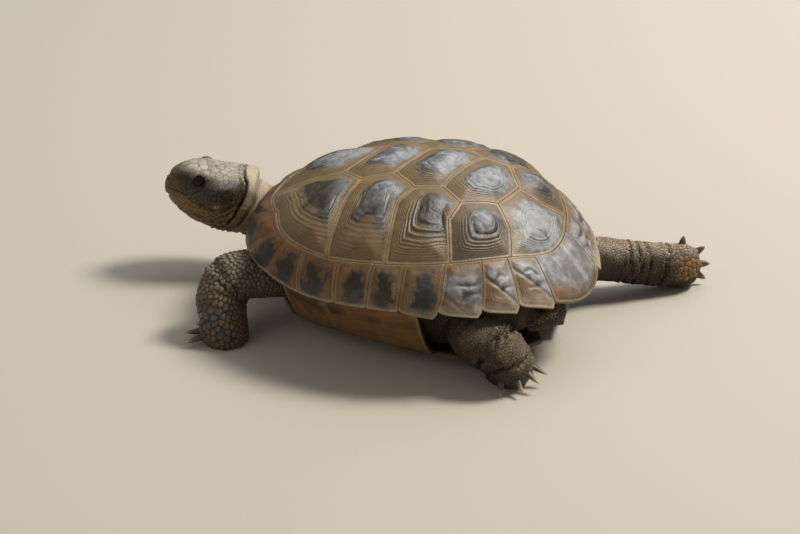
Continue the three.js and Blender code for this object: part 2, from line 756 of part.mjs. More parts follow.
// The half-space behind the head's back face, less the clearance.
function behindHead() {
  const size = SHELL_HALF_LENGTH;
  const block = new THREE.BoxGeometry(size * 2, size * 2, size * 2);
  block.translate(size + GAP, 0, 0);
  block.rotateZ(HEAD_TURN * DEGREE);
  block.translate(...HEAD_START);
  return toManifold(tidySolid(block));
}

function addFlesh() {
  const trunk = toManifold(trunkSolid(0));
  const room = toManifold(trunkSolid(GAP));
  const floor = floorSolid();
  const neck = toManifold(limbSolid(NECK)).subtract(room).intersect(behindHead());
  let head = toManifold(headSolid());
  const eyes = { eye_left: 1, eye_right: -1 };
  Object.entries(eyes).forEach(([name, side]) => {
    solids.set(name, eyeSolid(side, 0));
    head = head.subtract(toManifold(eyeSolid(side, GAP)));
  });
  solids.set('trunk', fromManifold(trunk));
  solids.set('neck', fromManifold(neck));
  solids.set('head', fromManifold(head));
  solids.set('tail', fromManifold(toManifold(limbSolid(TAIL)).subtract(room)));
  Object.entries(FEET).forEach(([name, foot]) => {
    solids.set(name, fromManifold(footSolid(foot).subtract(room).subtract(floor)));
  });
}

addFlesh();

// ---------------------------------------------------------------- finishes and naming
const FINISHES = {
  scute: { color: 0x7b6d55, roughness: 0.5, metalness: 0 },
  belly: { color: 0x6d4d2b, roughness: 0.55, metalness: 0 },
  skin: { color: 0x6e5f50, roughness: 0.75, metalness: 0 },
  head: { color: 0x574b40, roughness: 0.6, metalness: 0 },
  eye: { color: 0x0d0b0a, roughness: 0.08, metalness: 0 },
};

function finishOf(name) {
  const kind = name.split('_')[0];
  if (kind === 'eye' || kind === 'head') {
    return FINISHES[kind];
  }
  if (kind in PLASTRON_PLATES) {
    return FINISHES.belly;
  }
  const horn = ['vertebral', 'costal', 'marginal', 'nuchal', 'supracaudal'].includes(kind);
  return horn ? FINISHES.scute : FINISHES.skin;
}

// The origin goes to the middle of the floor under the whole animal.
const bounds = new THREE.Box3();
solids.forEach((geometry) => {
  geometry.computeBoundingBox();
  bounds.union(geometry.boundingBox);
});
const centre = bounds.getCenter(new THREE.Vector3());

const tortoise = new THREE.Group();
solids.forEach((geometry, name) => {
  geometry.translate(-centre.x, -centre.y, -bounds.min.z);
  const mesh = new THREE.Mesh(geometry, new THREE.MeshStandardMaterial(finishOf(name)));
  mesh.name = name;
  tortoise.add(mesh);
});

export default tortoise;
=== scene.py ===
"""A steppe tortoise in mid-stride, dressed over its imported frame: horn plates, skin, scales."""
from __future__ import annotations

import logging
import math
from dataclasses import dataclass, field
from enum import Enum

import bmesh
import bpy
import numpy as np
from mathutils import Matrix, Vector
from mathutils.bvhtree import BVHTree
from mathutils.kdtree import KDTree


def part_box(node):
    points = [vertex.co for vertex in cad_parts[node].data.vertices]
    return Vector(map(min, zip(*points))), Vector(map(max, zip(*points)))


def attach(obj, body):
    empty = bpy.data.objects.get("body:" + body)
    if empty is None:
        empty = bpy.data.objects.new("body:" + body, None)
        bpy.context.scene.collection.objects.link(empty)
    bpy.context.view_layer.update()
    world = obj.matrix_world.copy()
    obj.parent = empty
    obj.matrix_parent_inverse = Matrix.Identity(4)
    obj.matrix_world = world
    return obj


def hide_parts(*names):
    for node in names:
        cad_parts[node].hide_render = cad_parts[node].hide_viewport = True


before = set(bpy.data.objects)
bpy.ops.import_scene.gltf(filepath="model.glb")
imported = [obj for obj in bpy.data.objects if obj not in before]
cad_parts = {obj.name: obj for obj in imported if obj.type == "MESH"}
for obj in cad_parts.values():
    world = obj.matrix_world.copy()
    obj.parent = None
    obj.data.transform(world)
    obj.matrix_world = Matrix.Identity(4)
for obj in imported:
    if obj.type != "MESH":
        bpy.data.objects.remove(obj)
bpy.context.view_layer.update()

LOG = logging.getLogger("tortoise")
MM = 0.001
Array = np.ndarray
FULL_TURN = 2.0 * math.pi
SIDES = (1.0, -1.0)
BODY = "root"
TONE = "tone"
BAKE_MAP = "OFBake"


# ---------------------------------------------------------------- small maths
def smooth_step(low: float, high: float, value: Array) -> Array:
    """Rise smoothly from 0 at low to 1 at high."""
    t = np.clip((value - low) / (high - low), 0.0, 1.0)
    return t * t * (3.0 - 2.0 * t)


def smooth_fall(low: float, high: float, value: Array) -> Array:
    """Fall smoothly from 1 at low to 0 at high."""
    return 1.0 - smooth_step(low, high, value)


def bump(value: Array, centre: float, span: float) -> Array:
    """Return a bell curve of height 1 round a centre."""
    return np.exp(-(((value - centre) / span) ** 2))


def unit(vectors: Array) -> Array:
    """Return the vectors at length one."""
    return vectors / np.maximum(np.linalg.norm(vectors, axis=-1, keepdims=True), 1e-9)


def dot(a: Array, b: Array) -> Array:
    """Return the dot product along the last axis."""
    return np.sum(a * b, axis=-1)


def linear(code: str) -> Array:
    """Return the linear light of a six-digit screen colour.

    Args:
        code: The colour as hexadecimal digits.

    Returns:
        Red, green and blue from 0 to 1.
    """
    screen = np.array([int(code[k:k + 2], 16) / 255.0 for k in (0, 2, 4)])
    return np.where(screen <= 0.04045, screen / 12.92, ((screen + 0.055) / 1.055) ** 2.4)


def blend(base: Array, over: Array, share: Array) -> Array:
    """Lay one colour over another by a share at each point."""
    return base + (over - base) * np.clip(share, 0.0, 1.0)[..., None]


class Grain:
    """Smooth noise over points in millimetres, the same on every run."""

    @staticmethod
    def _corner(cells: Array, seed: int) -> Array:
        """Return a fixed number from 0 to 1 for each lattice cell.

        Args:
            cells: Whole lattice places, with x, y and z last.
            seed: Which noise of many.

        Returns:
            One number for each cell.
        """
        mixed = cells[..., 0] * 73856093 ^ cells[..., 1] * 19349663 ^ cells[..., 2] * 83492791
        mixed = (mixed ^ seed * 2654435761) & 0xFFFFFFFF
        mixed = ((mixed ^ mixed >> 13) * 1274126177) & 0xFFFFFFFF
        return ((mixed ^ mixed >> 16) & 0xFFFF) / 65535.0

    @classmethod
    def value(cls, points: Array, size: float, seed: int) -> Array:
        """Return noise from -1 to 1.

        Args:
            points: Places in millimetres, with x, y and z last.
            size: The width of one blob in millimetres.
            seed: Which noise of many.

        Returns:
            One number for each place.
        """
        scaled = points / size + 1000.0
        cells = np.floor(scaled).astype(np.int64)
        t = scaled - cells
        t = t * t * (3.0 - 2.0 * t)
        total = np.zeros(points.shape[:-1])
        for corner in np.ndindex(2, 2, 2):
            weight = np.ones(points.shape[:-1])
            for axis in range(3):
                weight = weight * (t[..., axis] if corner[axis] else 1.0 - t[..., axis])
            total += weight * cls._corner(cells + np.array(corner), seed)
        return total * 2.0 - 1.0

    @classmethod
    def layered(cls, points: Array, size: float, seed: int, octaves: int = 3) -> Array:
        """Return noise with finer noise on top, from about -1 to 1.

        Args:
            points: Places in millimetres, with x, y and z last.
            size: The width of the broadest blob in millimetres.
            seed: Which noise of many.
            octaves: How many noises are laid on each other.

        Returns:
            One number for each place.
        """
        total = np.zeros(points.shape[:-1])
        for octave in range(octaves):
            total += cls.value(points, size / 2.0 ** octave, seed + octave) / 2.0 ** octave
        return total / (2.0 - 0.5 ** (octaves - 1))


# ---------------------------------------------------------------- frame and meshes
@dataclass(frozen=True)
class Bench:
    """Turns the maker's millimetres, with the shell's middle at nought, into the frame's metres."""

    eye_middle: tuple[float, float, float]

    def origin(self) -> Array:
        """Return where the maker's nought lies in the frame, in metres.

        Returns:
            The place of nought in the frame, in metres.
        """
        (low_a, high_a), (low_b, high_b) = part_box("eye_left"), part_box("eye_right")
        middle = np.array((low_a + high_a + low_b + high_b) / 4.0)
        return middle - np.array(self.eye_middle) * MM

    def to_frame(self, points: Array) -> Array:
        """Return places in the frame, in metres."""
        return points * MM + self.origin()

    def to_maker(self, points: Array) -> Array:
        """Return places in the maker's millimetres."""
        return (points - self.origin()) / MM


def paint(mesh: bpy.types.Mesh, name: str, values: Array) -> None:
    """Write a colour at each vertex of a mesh.

    Args:
        mesh: The mesh to write on.
        name: The attribute's name.
        values: One row of three numbers for each vertex.
    """
    attribute = mesh.attributes.get(name) or mesh.attributes.new(name, "FLOAT_COLOR", "POINT")
    colour = np.ones((len(mesh.vertices), 4), np.float32)
    colour[:, :3] = values
    attribute.data.foreach_set("color", colour.ravel())


def place_vertices(mesh: bpy.types.Mesh, points: Array) -> None:
    """Move the vertices of a mesh to places in metres."""
    mesh.vertices.foreach_set("co", points.astype(np.float32).ravel())
    mesh.update()


def vertices_of(mesh: bpy.types.Mesh) -> Array:
    """Return the vertices of a mesh in metres.

    Args:
        mesh: The mesh to read.

    Returns:
        One place for each vertex.
    """
    places = np.empty(len(mesh.vertices) * 3, np.float32)
    mesh.vertices.foreach_get("co", places)
    return places.reshape(-1, 3).astype(float)


def link(name: str, mesh: bpy.types.Mesh, finish: bpy.types.Material | None = None) -> bpy.types.Object:
    """Put a mesh in the scene as an object of that name, with its finish.

    Args:
        name: The piece's name.
        mesh: Its mesh.
        finish: Its finish, if it has one.

    Returns:
        The new object.
    """
    piece = bpy.data.objects.new(name, mesh)
    bpy.context.scene.collection.objects.link(piece)
    if finish is not None:
        mesh.materials.append(finish)
    return piece


def laid_sheet(name: str, points: Array, layers: dict[str, Array]) -> bpy.types.Mesh:
    """Lay a grid on rows and columns of places and close it where its edges meet.

    Args:
        name: The mesh's name.
        points: Places in metres, by row and column.
        layers: Colour attributes, by row and column.

    Returns:
        The closed mesh, with its faces pointing out.
    """
    rows, columns = points.shape[0] - 1, points.shape[1] - 1
    mesh = bpy.data.meshes.new(name)
    work = bmesh.new()
    bmesh.ops.create_grid(work, x_segments=columns, y_segments=rows, size=1.0)
    work.to_mesh(mesh)
    place_vertices(mesh, points)
    for layer, values in layers.items():
        paint(mesh, layer, values.reshape(-1, 3))
    work.clear()
    work.from_mesh(mesh)
    bmesh.ops.remove_doubles(work, verts=work.verts[:], dist=2e-6)
    bmesh.ops.recalc_face_normals(work, faces=work.faces[:])
    for face in work.faces:
        face.smooth = True
    work.to_mesh(mesh)
    work.free()
    return mesh


UPRIGHT = np.array([0.0, 0.0, 1.0])
HEAD_TURN = 28.0
HEAD_START = (-118.0, -3.2, 48.3)
EYE_AT, EYE_ACROSS, EYE_HEIGHT, EYE_RADIUS = 21.5, 11.0, 8.3, 4.3
HEAD_AHEAD = np.array([-math.cos(math.radians(HEAD_TURN)), -math.sin(math.radians(HEAD_TURN)), 0.0])
HEAD_ACROSS = np.cross(UPRIGHT, HEAD_AHEAD)
BENCH = Bench(tuple(np.array(HEAD_START) + HEAD_AHEAD * EYE_AT + UPRIGHT * EYE_HEIGHT))


# ---------------------------------------------------------------- finishes
class Nodes:
    """A node tree with short ways to add and join nodes."""

    def __init__(self, name: str) -> None:
        """Start a material of that name.

        Args:
            name: The material's name.
        """
        self.material = bpy.data.materials.new(name)
        self.material.use_nodes = True
        self.tree = self.material.node_tree
        self.shader = self.tree.nodes["Principled BSDF"]

    def add(self, kind: str, **settings: object) -> bpy.types.Node:
        """Add a node and set its properties and inputs by name.

        Args:
            kind: The node's type.
            **settings: Values by the name of a property or an input.

        Returns:
            The new node.
        """
        node = self.tree.nodes.new(kind)
        for key, value in settings.items():
            if hasattr(node, key):
                setattr(node, key, value)
            else:
                node.inputs[key.replace("_", " ")].default_value = value
        return node

    def join(self, source: bpy.types.NodeSocket, target: bpy.types.NodeSocket) -> None:
        """Join an output to an input."""
        self.tree.links.new(source, target)

    def noise(self, scale: float, detail: float, coordinates: bpy.types.NodeSocket) -> bpy.types.NodeSocket:
        """Add a noise texture and return its number.

        Args:
            scale: How fine it is.
            detail: How many finer noises it adds.
            coordinates: Where it is looked up.

        Returns:
            Its number from 0 to 1.
        """
        node = self.add("ShaderNodeTexNoise", Scale=scale, Detail=detail, Roughness=0.6)
        self.join(coordinates, node.inputs["Vector"])
        return node.outputs["Fac"]

    def spread(self, source: bpy.types.NodeSocket, low: float, high: float,
               start: float = 0.25, end: float = 0.75) -> bpy.types.NodeSocket:
        """Map a number from start..end to low..high.

        Args:
            source: The number to map.
            low: The result at start.
            high: The result at end.
            start: The low end of the number.
            end: The high end of the number.

        Returns:
            The mapped number.
        """
        node = self.add("ShaderNodeMapRange")
        for name, value in (("From Min", start), ("From Max", end), ("To Min", low), ("To Max", high)):
            node.inputs[name].default_value = value
        self.join(source, node.inputs["Value"])
        return node.outputs["Result"]

    def times(self, a: bpy.types.NodeSocket, b: bpy.types.NodeSocket) -> bpy.types.NodeSocket:
        """Multiply two numbers.

        Args:
            a: One number.
            b: The other number.

        Returns:
            Their product.
        """
        node = self.add("ShaderNodeMath", operation="MULTIPLY")
        self.join(a, node.inputs[0])
        self.join(b, node.inputs[1])
        return node.outputs[0]

    def shade(self, colour: bpy.types.NodeSocket, share: bpy.types.NodeSocket) -> bpy.types.NodeSocket:
        """Multiply a colour by a number.

        Args:
            colour: The colour.
            share: The number.

        Returns:
            The shaded colour.
        """
        node = self.add("ShaderNodeVectorMath", operation="SCALE")
        self.join(colour, node.inputs[0])
        self.join(share, node.inputs["Scale"])
        return node.outputs[0]


@dataclass(frozen=True)
class NaturalFinish:
    """A finish whose colour is painted on the surface and broken up by two noises."""

    name: str
    roughness: tuple[float, float]
    specular: float
    mottle_scale: float
    mottle: tuple[float, float]
    speck_scale: float
    speck: tuple[float, float]
    bump_scale: float
    bump_height: float
    cell_scale: float = 0.0
    coat: float = 0.0

    def make(self) -> bpy.types.Material:
        """Build the material.

        Returns:
            The node material.
        """
        nodes = Nodes(self.name)
        coordinates = nodes.add("ShaderNodeTexCoord").outputs["Object"]
        tone = nodes.add("ShaderNodeAttribute", attribute_name=TONE).outputs["Color"]
        broad = nodes.noise(self.mottle_scale, 3.0, coordinates)
        fine = nodes.noise(self.speck_scale, 2.0, coordinates)
        shares = nodes.times(nodes.spread(broad, *self.mottle), nodes.spread(fine, *self.speck))
        nodes.join(nodes.shade(tone, shares), nodes.shader.inputs["Base Color"])
        nodes.join(nodes.spread(fine, *self.roughness), nodes.shader.inputs["Roughness"])
        nodes.shader.inputs["Specular IOR Level"].default_value = self.specular
        nodes.shader.inputs["Coat Weight"].default_value = self.coat
        nodes.shader.inputs["Coat Roughness"].default_value = 0.2
        height = nodes.noise(self.bump_scale, 4.0, coordinates)
        if self.cell_scale:
            cells = nodes.add("ShaderNodeTexVoronoi", Scale=self.cell_scale, feature="DISTANCE_TO_EDGE")
            nodes.join(coordinates, cells.inputs["Vector"])
            height = nodes.times(height, nodes.spread(cells.outputs["Distance"], 0.2, 1.0, 0.0, 0.25))
        relief = nodes.add("ShaderNodeBump", Strength=1.0, Distance=self.bump_height)
        nodes.join(height, relief.inputs["Height"])
        nodes.join(relief.outputs["Normal"], nodes.shader.inputs["Normal"])
        return nodes.material


SCUTE_HORN = NaturalFinish("scute horn", (0.36, 0.56), 0.55, 160.0, (0.8, 1.2), 1500.0, (0.84, 1.16),
                           1100.0, 0.00018)
BELLY_HORN = NaturalFinish("belly horn", (0.42, 0.6), 0.4, 140.0, (0.8, 1.2), 1200.0, (0.86, 1.14),
                           700.0, 0.00025)
SKIN_FINISH = NaturalFinish("creased skin", (0.6, 0.85), 0.3, 220.0, (0.8, 1.2), 2200.0, (0.85, 1.15),
                            1400.0, 0.0003, 900.0)
SCALE_FINISH = NaturalFinish("scale horn", (0.45, 0.7), 0.4, 300.0, (0.85, 1.15), 2500.0, (0.85, 1.15),
                             2200.0, 0.00016)
HEAD_FINISH = NaturalFinish("head shield horn", (0.32, 0.52), 0.5, 260.0, (0.8, 1.2), 2400.0, (0.82, 1.18),
                            900.0, 0.00012)
CLAW_FINISH = NaturalFinish("claw horn", (0.35, 0.5), 0.5, 400.0, (0.85, 1.15), 2500.0, (0.9, 1.1),
                            1800.0, 0.00012)
BEAK_FINISH = NaturalFinish("beak horn", (0.38, 0.58), 0.45, 300.0, (0.8, 1.2), 2000.0, (0.85, 1.15),
                            1500.0, 0.00016)


# ---------------------------------------------------------------- the carapace as one form
@dataclass(frozen=True)
class Seat:
    """A place on the shell: towards the tail and towards the left, 1 at the rim."""

    u: float
    v: float

    @property
    def radius(self) -> float:
        """Return how far out the place is."""
        return math.hypot(self.u, self.v)

    def mirrored(self) -> Seat:
        """Return the same place on the other side."""
        return Seat(self.u, -self.v)


@dataclass(frozen=True)
class ShellForm:
    """The smooth form under the carapace's plates, in millimetres."""

    half_length: float = 95.0
    half_width: float = 84.0
    widest_station: float = 3.0
    rear_taper: float = 0.03
    crown_height: float = 91.5
    crown_tilt: float = 7.0
    rim_height: float = 43.0
    front_squareness: float = 2.5
    rear_squareness: float = 1.95
    rear_flare: float = 0.16
    rear_flare_lead: float = 0.15
    front_flare: float = 0.065
    front_flare_lead: float = 0.2
    flare_start: float = 0.62
    flare_power: float = 1.5
    tip: float = 2.6
    tip_start: float = 0.93
    near_rim: float = 0.6
    ring: float = 0.725
    ring_tail_shift: float = 0.05
    ring_shoulder_shift: float = 0.06
    ring_shoulder: tuple[float, float] = (138.0, 9.0)
    step: float = 0.01

    def plan(self, u: Array, v: Array) -> tuple[Array, ...]:
        """Return the radius, its two directions, the plan's reach there and its flare.

        Args:
            u: Towards the tail, 1 at the rim.
            v: Towards the left, 1 at the rim.

        Returns:
            The five values at each seat.
        """
        radius = np.hypot(u, v)
        safe = np.maximum(radius, 1e-9)
        c = np.where(radius > 1e-9, u / safe, 1.0)
        s = np.where(radius > 1e-9, v / safe, 0.0)
        power = self.front_squareness + (self.rear_squareness - self.front_squareness) * (1.0 + c) / 2.0
        reach = (np.abs(c) ** power + np.abs(s) ** power) ** (-1.0 / power)
        flare = (self.rear_flare * np.maximum(c + self.rear_flare_lead, 0.0)
                 + self.front_flare * np.maximum(-c - self.front_flare_lead, 0.0))
        return radius, c, s, reach, flare

    def rim(self, c: Array) -> Array:
        """Return the rim's height, arched over neck and thighs, low at bridges and tail.

        Args:
            c: The cosine of the seat's angle: 1 at the tail, -1 at the neck.

        Returns:
            Heights in millimetres.
        """
        angle = np.degrees(np.arccos(np.clip(c, -1.0, 1.0)))
        arches = 9.0 * bump(angle, 180.0, 26.0) + bump(angle, 44.0, 26.0)
        return self.rim_height + arches - 3.5 * bump(angle, 105.0, 18.0) - 7.5 * bump(angle, 0.0, 17.0)

    def length_towards(self, c: Array) -> Array:
        """Return the half length of the plan towards neck or tail."""
        return self.half_length + np.where(c < 0.0, self.widest_station, -self.widest_station)

    def width_at(self, x: Array) -> Array:
        """Return the half width of the plan at a station."""
        return self.half_width * (1.0 - self.rear_taper * x / self.half_length)

    def point(self, u: Array, v: Array) -> Array:
        """Return the places of seats on the form.

        Args:
            u: Towards the tail, 1 at the rim.
            v: Towards the left, 1 at the rim.

        Returns:
            Places in the maker's millimetres.
        """
        radius, c, s, reach, flare = self.plan(u, v)
        angle = radius * math.pi / 2.0
        ramp = np.maximum((radius - self.flare_start) / (1.0 - self.flare_start), 0.0) ** self.flare_power
        spread = np.sin(angle) * (1.0 - flare) + flare * ramp
        tip = self.tip * smooth_step(self.tip_start, 1.0, c) * ramp
        x = self.widest_station + self.length_towards(c) * reach * c * spread + tip
        y = -self.width_at(x) * reach * s * spread
        rim = self.rim(c)
        top = self.crown_height - rim + self.crown_tilt * x / self.half_length
        return np.stack([x, y, rim + top * np.cos(angle)], -1)

    def normal(self, u: Array, v: Array) -> Array:
        """Return the outward directions at seats.

        Args:
            u: Towards the tail, 1 at the rim.
            v: Towards the left, 1 at the rim.

        Returns:
            Directions of length one.
        """
        along = self.point(u + self.step, v) - self.point(u - self.step, v)
        left = self.point(u, v + self.step) - self.point(u, v - self.step)
        return unit(np.cross(left, along))

    def seat(self, station: float, half: float) -> Seat:
        """Return the seat at a station and a distance from the midline.

        Args:
            station: How far towards the tail, in millimetres.
            half: How far to the left, in millimetres.

        Returns:
            The seat there.
        """
        past = station - self.widest_station
        c = past / float(self.length_towards(np.array(past)))
        s = half / float(self.width_at(np.array(station)))
        length = math.hypot(c, s)
        _, _, _, reach, flare = self.plan(np.array(c), np.array(s))
        radius = math.asin(length / float(reach) / (1.0 - float(flare))) * 2.0 / math.pi
        return Seat(radius * c / length, radius * s / length)

    def on_ring(self, degrees: float) -> Seat:
        """Return the seat on the seam between costals and marginals.

        Args:
            degrees: The angle round the shell, from the tail over the left side.

        Returns:
            The seat there.
        """
        tail = self.ring_tail_shift * max(math.cos(math.radians(degrees)), 0.0) ** 6
        centre, width = self.ring_shoulder
        shoulder = self.ring_shoulder_shift * math.exp(-((degrees - centre) / width) ** 2)
        return self.polar(self.ring + tail - shoulder, degrees)

    @staticmethod
    def polar(radius: float, degrees: float) -> Seat:
        """Return the seat at an angle round the shell, from the tail over the left side."""
        return Seat(radius * math.cos(math.radians(degrees)), radius * math.sin(math.radians(degrees)))

    def between(self, start: Seat, end: Seat, t: Array) -> Array:
        """Return seats along a seam, which follows the rim where it runs near it.

        Args:
            start: The seam's first seat.
            end: The seam's last seat.
            t: Shares of the way.

        Returns:
            One seat for each share.
        """
        if min(start.radius, end.radius) <= self.near_rim:
            return np.stack([start.u + (end.u - start.u) * t, start.v + (end.v - start.v) * t], -1)
        first, last = math.atan2(start.v, start.u), math.atan2(end.v, end.u)
        turn = last - first
        turn -= FULL_TURN * round(turn / FULL_TURN)
        radius = start.radius + (end.radius - start.radius) * t
        return np.stack([radius * np.cos(first + turn * t), radius * np.sin(first + turn * t)], -1)


@dataclass(frozen=True)
class BellyForm:
    """The plastron and its bridges: a station, and the share of the way out to the rim."""

    shell: ShellForm
    height: float = 8.0
    bridge_start: float = 50.0
    bridge_tuck: float = 4.0
    bridge_clearance: float = 1.5
    bridge_min_run: float = 20.0
    step: float = 0.01
    halvings: int = 24

    def rim_at(self, station: Array) -> Array:
        """Return the rim's places at stations, found by halving the angle.

        Args:
            station: How far towards the tail, in millimetres.

        Returns:
            Places in the maker's millimetres.
        """
        tail, neck = np.zeros_like(station), np.full_like(station, 180.0)
        for _ in range(self.halvings):
            middle = (tail + neck) / 2.0
            found = self.shell.point(np.cos(np.radians(middle)), np.sin(np.radians(middle)))[..., 0]
            tail = np.where(found > station, middle, tail)
            neck = np.where(found > station, neck, middle)
        return self.shell.point(np.cos(np.radians(tail)), np.sin(np.radians(tail)))

    def point(self, u: Array, v: Array) -> Array:
        """Return places on the belly; a negative share is the right side.

        Args:
            u: The station in millimetres.
            v: The share of the way out to the rim.

        Returns:
            Places in the maker's millimetres.
        """
        rim = self.rim_at(u)
        reach = -rim[..., 1] - self.bridge_tuck
        run = np.maximum(reach - self.bridge_start, self.bridge_min_run)
        climb = np.maximum(reach * np.abs(v) - self.bridge_start, 0.0) / run
        top = rim[..., 2] - self.bridge_clearance - self.height
        return np.stack([u, -reach * v, self.height + top * climb ** 2], -1)

    def normal(self, u: Array, v: Array) -> Array:
        """Return the directions that point down and out of the belly.

        Args:
            u: The station in millimetres.
            v: The share of the way out to the rim.

        Returns:
            Directions of length one.
        """
        along = self.point(u + 1.0, v) - self.point(u - 1.0, v)
        across = self.point(u, v + self.step) - self.point(u, v - self.step)
        return unit(np.cross(along, across))

    def seat(self, station: float, half: float) -> Seat:
        """Return the seat at a station and a distance from the midline."""
        reach = -float(self.rim_at(np.array([station]))[0, 1]) - self.bridge_tuck
        return Seat(station, min(half / reach, 1.0))

    def between(self, start: Seat, end: Seat, t: Array) -> Array:
        """Return seats along a straight seam."""
        return np.stack([start.u + (end.u - start.u) * t, start.v + (end.v - start.v) * t], -1)


# ---------------------------------------------------------------- horn plates
class PlateKind(Enum):
    """The plates that are marked alike."""

    VERTEBRAL = "vertebral"
    COSTAL = "costal"
    MARGINAL = "marginal"
    NUCHAL = "nuchal"
    SUPRACAUDAL = "supracaudal"
    BELLY = "belly"


# The first rim plates, counted from the neck, whose seams are notched and whose faces are creased.
FIRST_NOTCHED, FIRST_FOLDED = 8, 9


class HornTones:
    """The colours of the shell's horn."""

    OLIVE = linear("6c5b3d")
    GROOVE = linear("3a2d1b")
    RIDGE = linear("94825e")
    SEAM = linear("a5906c")
    SEAM_SHADE = linear("4a3820")
    SLATE = linear("54575c")
    SLATE_LIGHT = linear("989fa6")
    SLATE_DARK = linear("1f1d1b")
    # Pale grey, partly worn horn and partly a painted sheen where the shell faces the light.
    WEAR_AND_SHEEN = linear("949492")
    AMBER = linear("6e4a26")
    BLOT = linear("1e1b17")
    EDGE = linear("afa595")
    BELLY = linear("6e5028")
    UNDER = linear("4a3b25")


@dataclass
class HornPlate:
    """One plate of horn with growth rings, over a form."""

    name: str
    kind: PlateKind
    corners: list[Seat]
    areola: Seat
    form: ShellForm | BellyForm
    number: int = 0
    columns: int = 104
    rows: int = 88
    rings: int = 13
    core: float = 0.42
    swell: float = 1.65
    mound: float = 0.0
    relief: float = 0.42
    thickness: float = 3.0
    seam_depth: float = 0.45
    bevel: float = 12.5
    gap: float = 0.06
    lean: float = 1.0
    core_step: float = 0.26
    uneven: float = 0.12
    seam_lip: float = 0.16
    fold_slope: float = 0.95
    wall: tuple[float, ...] = (0.5, 0.92)
    underside: tuple[float, ...] = (0.96, 0.75, 0.5, 0.25, 0.0)
    costal_light: tuple[float, ...] = (0.2, 0.35, -0.2, 0.1)
    ring_radius: float = 0.73

    def edge(self) -> Array:
        """Return the seats round the plate's edge, one to a column, with a vertex at each corner.

        Returns:
            The seats, in order.
        """
        following = self.corners[1:] + self.corners[:1]
        lengths = []
        for start, end in zip(self.corners, following):
            ends = self.form.point(np.array([start.u, end.u]), np.array([start.v, end.v]))
            lengths.append(float(np.linalg.norm(ends[1] - ends[0])))
        total = sum(lengths)
        counts = [max(round(self.columns * length / total), 1) for length in lengths]
        sides = []
        for start, end, count in zip(self.corners, following, counts):
            sides.append(self.form.between(start, end, np.arange(count) / count))
        seats = np.concatenate(sides)
        if self.kind is not PlateKind.MARGINAL:
            return seats
        along, _ = self.place_on_rim_plate(seats)
        radius = np.hypot(seats[:, 0], seats[:, 1])
        depth = 0.017 if self.number >= FIRST_NOTCHED else 0.007
        notch = depth * np.clip(np.abs(2.0 * along - 1.0), 0.0, 1.0) ** 6
        return seats * (1.0 - notch * smooth_step(0.9, 1.0, radius))[:, None]

    def middle(self) -> Array:
        """Return the areola's place on the form."""
        return self.form.point(np.array(self.areola.u), np.array(self.areola.v))

    def ring_edges(self) -> Array:
        """Return where the growth rings end, from the core to the seam.

        Returns:
            Shares of the way from the core to the seam.
        """
        random = np.random.default_rng(sum(map(ord, self.name)))
        widths = 0.75 + 2.4 * np.linspace(1.0, 0.0, self.rings) ** 2.2
        widths = widths * random.uniform(0.72, 1.3, self.rings)
        return np.concatenate([[0.0], np.cumsum(widths) / widths.sum()])

    def rounded(self, share: Array, edge: Array) -> Array:
        """Return the share of the way to the seam, with the contours round near the areola.

        Args:
            share: The share along straight rays.
            edge: The seats round the plate's edge.

        Returns:
            The share along rounded contours.
        """
        ends = self.form.point(edge[:, 0], edge[:, 1])
        reach = np.linalg.norm(ends - self.middle(), axis=-1)
        spread = max(len(reach) // 12, 1)
        smooth = reach
        for _ in range(2):
            smooth = sum(np.roll(smooth, k) for k in range(-spread, spread + 1)) / (2 * spread + 1)
        ease = (1.0 - share) ** 0.6
        return share * (reach / smooth * ease + 1.0 - ease)

    def ring_wave(self, share: Array, places: Array) -> tuple[Array, Array]:
        """Return how high each point stands on its ring, from 0 to 1, and which ring it is on.

        Args:
            share: The share of the way to the seam.
            places: Places in the maker's millimetres.

        Returns:
            The height on the ring and the ring, from 0 to 1.
        """
        shift = 0.02 * Grain.value(places, 8.0, 3) + 0.008 * Grain.value(places, 2.4, 5)
        t = np.clip((share + shift - self.core) / (1.0 - self.core), 0.0, 0.9999)
        edges = self.ring_edges()
        ring = np.clip(np.searchsorted(edges, t, side="right") - 1, 0, self.rings - 1)
        part = (t - edges[ring]) / (edges[ring + 1] - edges[ring])
        wave = 0.5 - 0.5 * np.cos(FULL_TURN * part ** 1.7)
        return np.where(share + shift < self.core, 0.5, wave), ring / self.rings

    def core_wave(self, share: Array, places: Array, turn: Array) -> Array:
        """Return the swirling ridges inside the core, from 0 to 1, strongest on its outer side.

        Args:
            share: The share of the way to the seam.
            places: Places in the maker's millimetres.
            turn: How far each point faces the rim.

        Returns:
            One height for each place.
        """
        swirl = share / self.core * 3.4
        swirl = swirl + 0.8 * Grain.value(places, 6.0, 11) + 0.25 * Grain.value(places, 2.0, 13)
        ridges = 0.5 + 0.5 * np.cos(FULL_TURN * swirl)
        outer = smooth_step(-0.5, 0.9, turn + 0.9 * Grain.value(places, 5.0, 12))
        live = smooth_step(0.15, 0.5, share / self.core) * smooth_fall(0.86, 1.0, share / self.core)
        grit = 0.5 + 0.5 * Grain.layered(places, 1.6, 14)
        return 0.5 + 0.34 * (ridges - 0.5) * outer * live + 0.5 * (grit - 0.5)

    def seam_distance(self, places: Array, edge: Array) -> Array:
        """Return each place's distance to the plate's seams in millimetres.

        Args:
            places: Places in the maker's millimetres.
            edge: The seats round the plate's edge.

        Returns:
            One distance for each place.
        """
        ring = self.form.point(edge[:, 0], edge[:, 1])
        nearest = np.full(places.shape[:-1], np.inf)
        for start, end in zip(ring, np.roll(ring, -1, axis=0)):
            side = end - start
            t = np.clip(dot(places - start, side) / max(dot(side, side), 1e-12), 0.0, 1.0)
            gap = places - start - t[..., None] * side
            nearest = np.minimum(nearest, dot(gap, gap))
        return np.sqrt(nearest)

